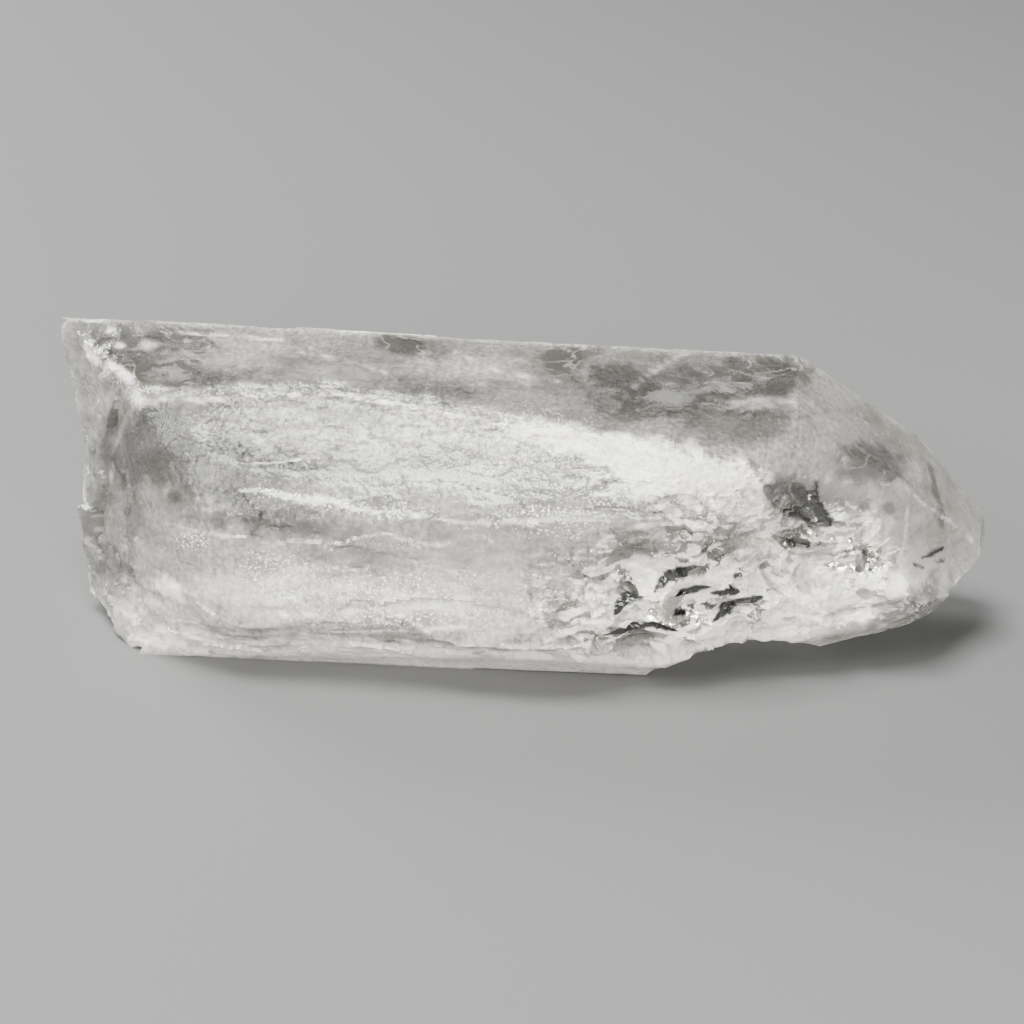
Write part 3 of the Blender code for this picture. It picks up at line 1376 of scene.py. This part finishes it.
@dataclass
class Ground:
    """What is known of each place once the crystal is carved.

    Each is from 0 to 1, apart from facet, which is a chance number between -1 and 1 that
    all places on one facet share.
    """

    root: np.ndarray
    ridge: np.ndarray
    scaly: np.ndarray
    fibrous: np.ndarray
    broken: np.ndarray
    # slit: where gaps are painted black, as painted shade.
    slit: np.ndarray
    edge: np.ndarray
    facet: np.ndarray

    @classmethod
    def of(cls, skin: Skin, root: np.ndarray, edge: np.ndarray) -> Ground:
        """Lay out the zones that carving reads.

        Args:
            skin: the surface before it is carved.
            root: how near each place is to the root end.
            edge: how near each place is to a sharp edge.

        Returns:
            The ground, without facets.
        """
        return cls(
            root=root,
            ridge=zone_share(skin, Zone.RIDGE),
            scaly=zone_share(skin, Zone.SCALY),
            fibrous=zone_share(skin, Zone.FIBROUS),
            broken=zone_share(skin, Zone.BROKEN),
            slit=zone_share(skin, Zone.SLIT),
            edge=edge,
            facet=np.zeros(len(skin.places)),
        )


@dataclass(frozen=True)
class Relief:
    """How deep the fine roughness is worn into the surface, in millimetres.

    Each pair is what is worn away evenly, and what the noise of the same name adds to it.
    """

    all_over: Pair = (0.10, 0.10)
    fibres: Pair = (0.15, 0.22)
    scales: Pair = (0.02, 0.34)
    lumps: Pair = (0.12, 0.22)
    edge_chips: float = 0.28
    growth_steps: float = 0.018
    crest: float = 0.12
    root_share: float = 0.7
    rest_height: float = 1.5        # how far above the table the relief is in full
    all_over_noise: Grain = Grain(11.0, 2, seed=1)
    fibre_noise: Grain = Grain(1.2, 3, seed=2, squeeze=(1.0, 1.0, 0.25))
    scale_noise: Grain = Grain(1.9, 4, seed=3, squeeze=(0.5, 1.0, 1.0))
    chip_noise: Grain = Grain(1.4, 3, seed=4)
    step_noise: Grain = Grain(1.1, 3, seed=5, squeeze=(1.0, 0.12, 0.12))
    lump_noise: Grain = Grain(3.2, 4, seed=6)

    def wear(self, skin: Skin, ground: Ground) -> None:
        """Wear the roughness into the surface.

        Args:
            skin: the surface, which is changed.
            ground: the zones on it.
        """
        places = skin.places
        even, swing = self.all_over
        depth = even + swing * self.all_over_noise.read(places)
        even, swing = self.fibres
        fibrous = np.maximum(ground.root * self.root_share, ground.fibrous)
        depth += fibrous * (even + swing * self.fibre_noise.read(places))
        even, swing = self.scales
        scaly = np.maximum(ground.ridge, ground.scaly)
        depth += scaly * (even + swing * np.abs(self.scale_noise.read(places)))
        even, swing = self.lumps
        depth += ground.broken * (even + swing * self.lump_noise.read(places))
        depth += ground.edge * np.maximum(self.chip_noise.read(places), 0.0) * self.edge_chips
        depth += self.growth_steps * self.step_noise.read(places)
        depth -= self.crest * zone_share(skin, Zone.CREST)
        depth = np.maximum(depth, 0.0) * smooth_step(places[:, 2], 0.0, self.rest_height)
        places -= skin.normals * depth[:, None]


def toward(value: np.ndarray, target: float, share: np.ndarray) -> np.ndarray:
    """The value, moved by a share of its way to a target."""
    return value + (target - value) * share


@dataclass(frozen=True)
class Complexion:
    """How the skin of the crystal looks, place by place.

    Haze is how much the skin covers the clear quartz, and tone is how pale the cover is. The
    tone carries painted light as well as the skin's own paleness. The first nine pairs are an
    amount of haze and an amount of tone: six build up the plain skin, and the tone of on_back
    is painted light on the side away from the camera; in_window is the share that a clear
    window takes away, and its tone part is painted shade; by_lift and by_facet are what worn
    edges, the ridge and its scales, and single facets add, the lift being partly wear and
    partly painted highlight. The last nine amounts are of frost, of painted glints (sparkling
    dots), of scales and of streaks.
    """

    plain: Pair = (0.60, 0.39)
    in_cloud: Pair = (0.08, 0.05)
    # on_back: more haze, and a paler tone, on the side away from the camera; the paler tone is painted
    # light for its dim lighting.
    on_lid: Pair = (-0.08, -0.17)
    on_back: Pair = (0.12, 0.12)
    in_back_veil: Pair = (0.18, 0.35)
    in_back_gap: Pair = (-0.28, -0.20)
    # in_window: the haze that a clear window takes away, and the tone, whose loss is painted shade.
    in_window: Pair = (0.48, 0.90)
    # by_lift: haze and tone added on worn edges, the ridge and its scales: partly wear, partly painted
    # highlight.
    by_lift: Pair = (0.12, 0.18)
    by_facet: Pair = (0.25, 0.22)
    milky: float = 0.95             # haze that nothing shows through
    painted: float = 0.92           # haze of a facet painted white (painted highlight) or black (painted shade)
    palest_tone: float = 0.97            # the palest tone: the white mist's, and that of painted highlights and painted internal reflections
    glassy_haze: float = 0.6        # the share of haze that glassy ground loses
    broken_haze: float = 0.45       # and that broken ground loses
    broken_tone: float = 0.22
    pale_haze: float = 0.85
    pale_facet: float = 0.10        # how much less the facets differ where it is pale
    dusky_tone: float = 0.36
    lift_at_edge: float = 0.8
    lift_on_ridge: float = 0.35
    lift_on_scales: float = 0.4
    lid_normal: Point = (0.02, -0.26, 0.966)
    lid_range: Pair = (0.90, 0.97)
    point_range: Pair = (28.0, 34.0)
    black_range: Pair = (0.62, 0.72)
    white_range: Pair = (0.66, 0.76)
    white_reach: float = 1.1
    gap_range: Pair = (0.10, 0.45)
    veil_range: Pair = (0.10, 0.60)
    cloud_noise: Grain = Grain(7.0, 3, seed=11, squeeze=(0.6, 1.0, 1.0))
    gap_noise: Grain = Grain(7.0, 4, seed=51, squeeze=(0.45, 1.0, 1.0))
    veil_noise: Grain = Grain(6.0, 4, seed=61, squeeze=(0.45, 1.0, 1.0))
    frost: float = 0.12
    root_frost: float = 0.3
    lid_frost: float = 0.2
    dull_frost: float = 0.35
    frost_lost: float = 0.8         # the share of frost that clear and broken ground lose
    # edge_glint: how much sharp edges add to the painted glints.
    edge_glint: float = 0.3
    glint_lost: float = 0.7         # the share of the dots that a clear window loses
    ridge_scales: float = 0.7
    streaks_lost: tuple[float, float, float] = (0.75, 0.3, 0.8)     # point, lid and root

    def undercoat(self, skin: Skin, lid: np.ndarray) -> tuple[np.ndarray, np.ndarray]:
        """The plain skin, before any zone changes it.

        Args:
            skin: the finished surface.
            lid: how much each place lies on the flat top face.

        Returns:
            The haze and the tone.
        """
        back = 1.0 - skin.facing
        veil = smooth_step(self.veil_noise.read(skin.places), *self.veil_range)
        gap = smooth_step(self.gap_noise.read(skin.places), *self.gap_range)
        haze, tone = (
            np.outer(self.plain, np.ones(len(back)))
            + np.outer(self.in_cloud, self.cloud_noise.read(skin.places))
            + np.outer(self.on_lid, lid)
            # Painted light: the side away from the camera made paler.
            + np.outer(self.on_back, back)
            + np.outer(self.in_back_veil, back * veil)
            + np.outer(self.in_back_gap, back * gap)
        )
        return haze, tone

    def dress(self, skin: Skin, ground: Ground) -> dict[str, np.ndarray]:
        """Work out everything that the finish reads.

        Args:
            skin: the finished surface.
            ground: what carving left.

        Returns:
            One number for each place, by the name that the finish reads it under.
        """
        facet, slit, broken = ground.facet, ground.slit, ground.broken
        window, glassy, pale, dusky, black, white = (
            zone_share(skin, zone)
            for zone in (Zone.WINDOW, Zone.GLASSY, Zone.PALE, Zone.DUSKY, Zone.BLACK, Zone.WHITE)
        )
        # Some facets are painted black as painted shade, and some white as painted highlights and painted
        # internal reflections.
        black = black * smooth_step(-facet, *self.black_range)
        white = white * smooth_step(facet + self.white_reach * white, *self.white_range)
        lid = smooth_step(skin.normals @ np.array(self.lid_normal), *self.lid_range)
        # lift: worn edges, the ridge and its scales, paler partly from wear and partly as painted
        # highlight.
        lift = np.maximum(self.lift_on_ridge * ground.ridge, self.lift_on_scales * ground.scaly)
        lift = np.maximum(self.lift_at_edge * ground.edge, lift)
        bare = 1.0 - self.broken_haze * broken
        haze, tone = self.undercoat(skin, lid)

        haze *= (1.0 - self.in_window[0] * window) * (1.0 - self.glassy_haze * glassy) * bare
        haze = toward(haze, self.milky, self.pale_haze * pale * bare)
        # Worn edges, the ridge and its scales get more haze here and a paler tone below: partly wear,
        # partly painted highlight.
        haze += self.by_lift[0] * lift
        haze = toward(haze, self.painted, np.maximum(white, black))
        haze += self.by_facet[0] * facet
        # Slits are painted shade: fully covered here, and made black in tone below.
        haze = toward(haze, self.milky, slit)

        # Painted shade: clear windows are darkened in tone.
        tone *= 1.0 - self.in_window[1] * window
        # Pale ground goes to the palest tone: partly the white mist and streaks, partly painted highlights,
        # painted internal reflections and painted light on the foot.
        tone = toward(tone + self.broken_tone * broken, self.palest_tone, pale)
        # Paler where lifted, partly as painted highlight; white facets go to the palest tone as painted
        # highlights and painted internal reflections.
        tone = toward(tone + self.by_lift[1] * lift, self.palest_tone, white)
        # Black facets lose their tone: painted shade. Dusky places are made dull grey.
        tone = tone * (1.0 - black) - self.dusky_tone * dusky
        tone += (self.by_facet[1] - self.pale_facet * pale) * facet
        tone *= 1.0 - slit

        frost = self.frost + self.root_frost * ground.root + self.lid_frost * lid
        frost += self.dull_frost * np.maximum(dusky, ground.scaly)
        frost *= 1.0 - self.frost_lost * np.maximum(np.maximum(window, glassy), broken)
        # Painted glints: white dots in the glint zone and along sharp edges, fewer in slits and windows.
        glint = np.clip(zone_share(skin, Zone.GLINT) + self.edge_glint * ground.edge, 0.0, 1.0)
        glint *= (1.0 - slit) * (1.0 - self.glint_lost * window)
        point_end = smooth_step(skin.places[:, 0], *self.point_range)
        streaks = 1.0 - np.array(self.streaks_lost) @ np.array((point_end, lid, ground.root))
        return {
            "haze": np.clip(haze, 0.0, 1.0),
            "tone": np.clip(tone, 0.0, 1.0),
            "frost": np.clip(frost, 0.0, 1.0),
            "clear": window,
            "scaly": np.clip(ground.scaly + self.ridge_scales * ground.ridge, 0.0, 1.0),
            "streaks": np.clip(streaks, 0.0, 1.0),
            "silver": zone_share(skin, Zone.SILVER),
            "glint": glint,
        }


# --------------------------------------------------------------------------- the crystal


@dataclass
class CrystalBody:
    """The whole crystal: its fine shape, its zones and its finish."""

    view: Viewpoint
    weld_mm: float = 0.01
    octree_depth: int = 8
    octree_fill: float = 0.60
    wear_levels: int = 4
    refined_from: float = 0.3
    edge_range: Pair = (0.01, 0.05)
    edge_rounds: int = 3
    edge_fade: float = 0.8
    root_range: Pair = (39.0, 44.5)
    crease_angle: float = 30.0
    chip_seed: int = 7
    tint_seed: int = 5
    full_tint_depth: float = 0.03       # how deep a chip is cut where its own tone is in full
    shells: Sequence[Shell] = (
        Shell(645, 566, radius=16.0, depth=0.60, turn=60),
        Shell(722, 558, radius=9.0, depth=0.60, turn=100),
        Shell(690, 606, radius=7.0, depth=0.50, turn=30),
        Shell(612, 604, radius=6.0, depth=0.45, turn=0),
        Shell(735, 615, radius=10.0, depth=0.50, turn=160),
        Shell(655, 645, radius=18.0, depth=0.45, turn=20),
        Shell(575, 625, radius=22.0, depth=0.35, turn=80, ripple=0.025, wave=0.6),
        Shell(700, 582, radius=3.5, depth=0.40, turn=90),
        Shell(632, 622, radius=3.0, depth=0.35, turn=45),
        Shell(800, 505, radius=14.0, depth=0.45, turn=120),
        Shell(822, 558, radius=16.0, depth=0.55, turn=90, ripple=0.02, wave=1.1),
        Shell(872, 560, radius=8.0, depth=0.50, turn=150),
        Shell(840, 608, radius=12.0, depth=0.40, turn=100, ripple=0.02, wave=0.7),
        Shell(775, 592, radius=5.0, depth=0.45, turn=60),
        Shell(770, 630, radius=8.0, depth=0.35, turn=90),
        Shell(982, 540, radius=1.2, depth=0.40, turn=0, ripple=0.0),
        Shell(970, 571, radius=1.6, depth=0.30, turn=0, ripple=0.0),
        Shell(62, 322, radius=1.5, depth=0.30, turn=0, ripple=0.0),
    )
    chip_fields: Sequence[ChipField] = (
        ChipField(590, 555, 755, 650, count=16),
        ChipField(760, 500, 900, 620, count=14),
        ChipField(880, 570, 960, 620, count=4),
    )
    splinters: Sequence[Splinters] = (
        Splinters(Zone.HIDDEN, 8.0, tilt=2, lift=0.08, stretch=(0.35, 1.0, 1.4), seed=41, tint=0.5),
        Splinters(Zone.HIDDEN, 3.0, tilt=5, lift=0.04, stretch=(0.4, 1.0, 1.4), seed=42, tint=0.3),
        Splinters(Zone.FRONT, 6.0, tilt=4, lift=0.05, stretch=(0.4, 1.0, 1.5), seed=35, tint=0.15),
        Splinters(Zone.FRONT, 1.7, tilt=5, lift=0.02, stretch=(0.4, 1.0, 1.5), seed=36, tint=0.1),
        Splinters(Zone.BROKEN, 4.0, tilt=28, lift=0.30, stretch=(0.7, 1.0, 1.3), seed=31),
        Splinters(Zone.BROKEN, 1.3, tilt=20, lift=0.06, stretch=(0.6, 1.0, 1.4), seed=32),
        Splinters(Zone.SCALY, 1.5, tilt=12, lift=0.07, stretch=(0.45, 1.0, 1.6), seed=33, tint=0.4),
        Splinters(Zone.RIDGE, 1.2, tilt=14, lift=0.07, stretch=(0.45, 1.0, 1.6), seed=34, tint=0.4),
        Splinters(Zone.ROOT, 3.4, tilt=14, lift=0.15, stretch=(1.0, 1.0, 0.6), seed=37, tint=0.25),
        Splinters(Zone.ROOT, 1.2, tilt=16, lift=0.06, stretch=(1.0, 1.0, 0.7), seed=38, tint=0.15),
        Splinters(Zone.FOOT, 2.6, tilt=18, lift=0.14, stretch=(0.6, 1.0, 1.3), seed=39, tint=0.3),
        Splinters(Zone.FOOT, 1.0, tilt=16, lift=0.05, stretch=(0.6, 1.0, 1.3), seed=40, tint=0.2),
    )

    def block(self) -> bpy.types.Object:
        """Make a fine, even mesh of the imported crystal, with its flat faces and sharp edges.

        Returns:
            The crystal.
        """
        node = frame["nodes"][NODE]
        bpy.ops.object.select_all(action="DESELECT")
        body = node.copy()
        body.data = node.data.copy()
        body.name = "crystal_body"
        body.parent = None
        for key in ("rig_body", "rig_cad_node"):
            del body[key]
        bpy.context.scene.collection.objects.link(body)
        bpy.context.view_layer.objects.active = body
        body.select_set(True)
        bpy.ops.object.mode_set(mode="EDIT")
        bpy.ops.mesh.select_all(action="SELECT")
        bpy.ops.mesh.remove_doubles(threshold=self.weld_mm * MM)
        bpy.ops.object.mode_set(mode="OBJECT")
        remesh = body.modifiers.new("even_mesh", "REMESH")
        remesh.mode = "SHARP"
        remesh.octree_depth = self.octree_depth
        remesh.scale = self.octree_fill
        remesh.use_remove_disconnected = True
        bpy.ops.object.modifier_apply(modifier=remesh.name)
        return body

    def skin(self, body: bpy.types.Object) -> Skin:
        """Read the vertices and their normals.

        Args:
            body: the crystal.

        Returns:
            Its surface.
        """
        count = len(body.data.vertices)
        places = np.empty(count * 3)
        body.data.vertices.foreach_get("co", places)
        normals = np.empty(count * 3)
        body.data.vertex_normals.foreach_get("vector", normals)
        return Skin(places.reshape(-1, 3) / MM, normals.reshape(-1, 3), Sight(self.view, body))

    def soften(self, body: bpy.types.Object, zone: Zone, rounds: int) -> None:
        """Round off the sharp edges in one zone.

        Args:
            body: the crystal.
            zone: where.
            rounds: how many times each vertex moves to the middle of its neighbours.
        """
        worn = zone_share(self.skin(body), zone)
        group = body.vertex_groups.new(name="worn")
        for level in range(self.wear_levels):
            low, high = level / self.wear_levels, (level + 1) / self.wear_levels
            chosen = np.flatnonzero((worn > low) & (worn <= high))
            group.add(chosen.tolist(), high, "REPLACE")
        smooth = body.modifiers.new("wear", "SMOOTH")
        smooth.factor = 0.5
        smooth.iterations = rounds
        smooth.vertex_group = group.name
        bpy.ops.object.modifier_apply(modifier=smooth.name)
        body.vertex_groups.clear()

    def refine(self, body: bpy.types.Object, zones: Sequence[Zone], cuts: int = 1) -> None:
        """Split the faces in some zones.

        Args:
            body: the crystal.
            zones: where.
            cuts: how many cuts each edge takes.
        """
        skin = self.skin(body)
        fine = sum(zone_share(skin, zone) for zone in zones) > self.refined_from
        mesh = body.data
        corners = np.empty(len(mesh.loops), np.int32)
        mesh.loops.foreach_get("vertex_index", corners)
        starts = np.empty(len(mesh.polygons), np.int32)
        mesh.polygons.foreach_get("loop_start", starts)
        chosen = np.logical_and.reduceat(fine[corners], starts)
        bpy.context.tool_settings.mesh_select_mode = (False, False, True)
        bpy.ops.object.mode_set(mode="EDIT")
        bpy.ops.mesh.select_all(action="DESELECT")
        bpy.ops.object.mode_set(mode="OBJECT")
        mesh.polygons.foreach_set("select", chosen)
        bpy.ops.object.mode_set(mode="EDIT")
        bpy.ops.mesh.subdivide(number_cuts=cuts)
        bpy.ops.object.mode_set(mode="OBJECT")

    def edges(self, body: bpy.types.Object, normals: np.ndarray) -> np.ndarray:
        """Find the sharp edges, and spread them a little way into the faces beside them.

        Args:
            body: the crystal.
            normals: the normals of its vertices.

        Returns:
            How near each vertex is to a sharp edge, from 0 to 1.
        """
        mesh = body.data
        corners = np.empty(len(mesh.loops), np.int32)
        mesh.loops.foreach_get("vertex_index", corners)
        totals = np.empty(len(mesh.polygons), np.int32)
        mesh.polygons.foreach_get("loop_total", totals)
        faces = np.empty(len(mesh.polygons) * 3)
        mesh.polygon_normals.foreach_get("vector", faces)
        flat = np.repeat(faces.reshape(-1, 3), totals, axis=0)
        agree = np.ones(len(normals))
        np.minimum.at(agree, corners, np.einsum("ij,ij->i", flat, normals[corners]))
        near = smooth_step(1.0 - agree, *self.edge_range)
        pairs = np.empty(len(mesh.edges) * 2, np.int32)
        mesh.edges.foreach_get("vertices", pairs)
        pairs = pairs.reshape(-1, 2)
        degree = np.bincount(pairs.ravel(), minlength=len(normals)) + 1.0
        for _ in range(self.edge_rounds):
            total = near.copy()
            np.add.at(total, pairs[:, 0], near[pairs[:, 1]])
            np.add.at(total, pairs[:, 1], near[pairs[:, 0]])
            near = np.maximum(near * self.edge_fade, total / degree)
        return near

    def carve(self, skin: Skin, edge: np.ndarray) -> Ground:
        """Work the surface: fine roughness first, then flakes, splinters and small chips.

        Args:
            skin: the surface, which is changed.
            edge: how near each place is to a sharp edge.

        Returns:
            What is known of each place.
        """
        root = smooth_step(-skin.places[:, 0], *self.root_range)
        ground = Ground.of(skin, root, edge)
        Relief().wear(skin, ground)
        skin.sight.reshape(skin.places)
        for shell in self.shells:
            shell.cut(skin)
        for splinters in self.splinters:
            share, value = splinters.cut(skin)
            ground.facet += (value - ground.facet) * share * splinters.tint
        skin.sight.reshape(skin.places)
        chip_chance = np.random.default_rng(self.chip_seed)
        tint_chance = np.random.default_rng(self.tint_seed)
        for shell in [chip for area in self.chip_fields for chip in area.scatter(chip_chance)]:
            rows, cut = shell.cut(skin)
            share = smooth_step(cut, 0.0, self.full_tint_depth)
            ground.facet[rows] += (tint_chance.uniform(-1.0, 1.0) - ground.facet[rows]) * share
        return ground

    def build(self) -> bpy.types.Object:
        """Make the crystal.

        Returns:
            The crystal.
        """
        body = self.block()
        self.soften(body, Zone.RIM, rounds=600)
        self.soften(body, Zone.EDGE, rounds=12)
        self.refine(body, (Zone.FRONT, Zone.ROOT, Zone.FOOT, Zone.RIDGE))
        self.soften(body, Zone.FRONT, rounds=4)
        self.refine(body, (Zone.BROKEN, Zone.RIDGE, Zone.SCALY))
        self.soften(body, Zone.BROKEN, rounds=8)
        self.soften(body, Zone.SCALY, rounds=4)
        skin = self.skin(body)
        ground = self.carve(skin, self.edges(body, skin.normals))
        low, high = (np.array(corner) / MM for corner in (cad_low, cad_high))
        np.clip(skin.places, low, high, out=skin.places)
        body.data.vertices.foreach_set("co", (skin.places * MM).ravel())
        body.data.update()
        for name, values in Complexion().dress(skin, ground).items():
            attribute = body.data.attributes.new(name, "FLOAT", "POINT")
            attribute.data.foreach_set("value", values.astype(np.float32))
        body.data.materials.clear()
        body.data.materials.append(RockCrystal().build())
        bpy.ops.object.select_all(action="DESELECT")
        body.select_set(True)
        bpy.context.view_layer.objects.active = body
        bpy.ops.object.shade_smooth_by_angle(angle=math.radians(self.crease_angle))
        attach(body, BODY)
        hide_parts(NODE)
        body.data.calc_loop_triangles()
        LOG.info("%s: %d triangles", body.name, len(body.data.loop_triangles))
        return body


# --------------------------------------------------------------------------- sealed inside


@dataclass(frozen=True)
class VeilFinish:
    """White mist, or a healed crack that mirrors, with gaps between its wisps.

    pattern is how many wisps there are to the metre along each axis, and low and high are
    where a wisp starts to show and where it shows in full.
    """

    name: str
    colour: Colour
    metallic: float
    roughness: float
    pattern: Point
    low: float
    high: float
    fine_scale: float = 1500.0
    fine_share: float = 0.4
    relief: float = 0.0002
    relief_strength: float = 0.6

    def build(self) -> bpy.types.Material:
        """Make the material.

        Returns:
            The material.
        """
        graph = Graph(self.name)
        wisps = graph.noise(graph.stretched(self.pattern), 1.0, 4.0, 1.4)
        fine = graph.noise(graph.place(), self.fine_scale, 3.0)
        shown = (wisps + (fine - 0.5) * self.fine_share).step(self.low, self.high)
        surface = graph.principled(
            {
                "Base Color": (*self.colour, 1.0),
                "Metallic": self.metallic,
                "Roughness": self.roughness,
                "Alpha": (shown * graph.stored("cover")).held(),
                "Normal": graph.bump(
                    wisps + fine * self.fine_share, self.relief_strength, self.relief
                ),
            }
        )
        return graph.output(surface)


class Trace(Enum):
    """The kinds of thing sealed in the crystal."""

    MIST = VeilFinish(
        name="white_mist",
        colour=(0.93, 0.92, 0.90),
        metallic=0.0,
        roughness=0.6,
        pattern=(170.0, 330.0, 330.0),
        low=0.44,
        high=0.66,
    )
    CRACK = VeilFinish(
        name="healed_crack",
        colour=(0.95, 0.94, 0.92),
        metallic=1.0,
        roughness=0.25,
        pattern=(260.0, 420.0, 420.0),
        low=0.42,
        high=0.5,
    )


@dataclass(frozen=True)
class Veil:
    """One thin wavy sheet inside the crystal, closed all round.

    across and down say where it shows in the view, in pixels, and turn is how far it is
    turned there, in degrees anticlockwise. depth is measured along the refracted line of
    sight, and tilt adds to it from left to right. These and the other sizes are
    millimetres. cover is how much of what is behind it the middle hides.
    """

    name: str
    trace: Trace
    across: float
    down: float
    wide: float
    tall: float
    depth: float
    turn: float = 0.0
    tilt: float = 0.0
    cover: float = 0.8
    wave: float = 0.5
    wave_width: float = 3.0
    wall: float = 0.04
    columns: int = 40
    rows: int = 20
    fade_from: float = 0.45         # how far out the sheet starts to fade, 1 at its rim

    def build(self, sight: Sight) -> bpy.types.Object:
        """Make the sheet.

        Args:
            sight: what finds the places inside the crystal.

        Returns:
            The sheet.
        """
        bpy.ops.object.select_all(action="DESELECT")
        bpy.ops.mesh.primitive_grid_add(x_subdivisions=self.columns, y_subdivisions=self.rows, size=2.0)
        sheet = bpy.context.object
        sheet.name = self.name
        mesh = sheet.data
        grid = np.empty(len(mesh.vertices) * 3)
        mesh.vertices.foreach_get("co", grid)
        u, v, _ = grid.reshape(-1, 3).T
        u, v = u * np.sqrt(1.0 - v**2 / 2.0), v * np.sqrt(1.0 - u**2 / 2.0)
        turn = math.radians(self.turn)
        right = u * self.wide * math.cos(turn) - v * self.tall * math.sin(turn)
        upward = u * self.wide * math.sin(turn) + v * self.tall * math.cos(turn)
        flat = np.stack([right, upward, np.zeros(len(u))], axis=1)
        ripple = self.wave * rough_grain(flat, self.wave_width, 3, seed=int(self.across))
        depths = self.depth + self.tilt * u + ripple
        across = self.across + right / sight.pixel_mm
        down = self.down - upward / sight.pixel_mm
        places = [sight.inside(*spot) for spot in zip(across, down, depths)]
        mesh.vertices.foreach_set("co", (np.array(places) * MM).ravel())
        cover = mesh.attributes.new("cover", "FLOAT", "POINT")
        fade = self.cover * (1.0 - smooth_step(np.hypot(u, v), self.fade_from, 1.0))
        cover.data.foreach_set("value", fade.astype(np.float32))
        wall = sheet.modifiers.new("wall", "SOLIDIFY")
        wall.thickness = self.wall * MM
        wall.offset = 0.0
        bpy.ops.object.modifier_apply(modifier=wall.name)
        bpy.ops.object.shade_smooth()
        return sheet


@dataclass
class Inclusions:
    """Everything sealed in the crystal."""

    sight: Sight
    veils: Sequence[Veil] = (
        Veil("mist_by_the_root", Trace.MIST, 165, 362, wide=5.0, tall=2.6, depth=4.0, turn=-10),
        Veil("mist_under_the_top_left", Trace.MIST, 300, 366, wide=12.0, tall=2.6, depth=3.5, turn=-2),
        Veil("swirl_in_the_window", Trace.MIST, 700, 386, wide=9.0, tall=3.0, depth=5.5, turn=12),
        Veil(
            "lens_in_the_window", Trace.MIST, 752, 407,
            wide=4.2, tall=1.4, depth=2.5, turn=4, cover=1.0, wave=0.2,
        ),
        Veil(
            "crack_in_the_point", Trace.CRACK, 830, 570,
            wide=6.0, tall=3.6, depth=1.6, turn=10, tilt=0.8, cover=1.0, wave=0.35,
        ),
        Veil(
            "crack_in_the_belly", Trace.CRACK, 700, 605,
            wide=5.0, tall=2.2, depth=1.4, turn=8, tilt=0.5, cover=1.0, wave=0.35,
        ),
    )

    def build(self) -> None:
        """Make every sheet and dress it."""
        finishes = {trace: trace.value.build() for trace in Trace}
        for veil in self.veils:
            sheet = veil.build(self.sight)
            sheet.data.materials.append(finishes[veil.trace])
            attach(sheet, BODY)
            LOG.info("%s: %d faces", sheet.name, len(sheet.data.polygons))


def main() -> None:
    """Build the crystal and the studio."""
    logging.basicConfig(level=logging.INFO, format="%(name)s: %(message)s")
    view = Viewpoint()
    view.build()
    Studio().build()
    body = CrystalBody(view).build()
    Inclusions(Sight(view, body)).build()


if __name__ == "__main__":
    main()
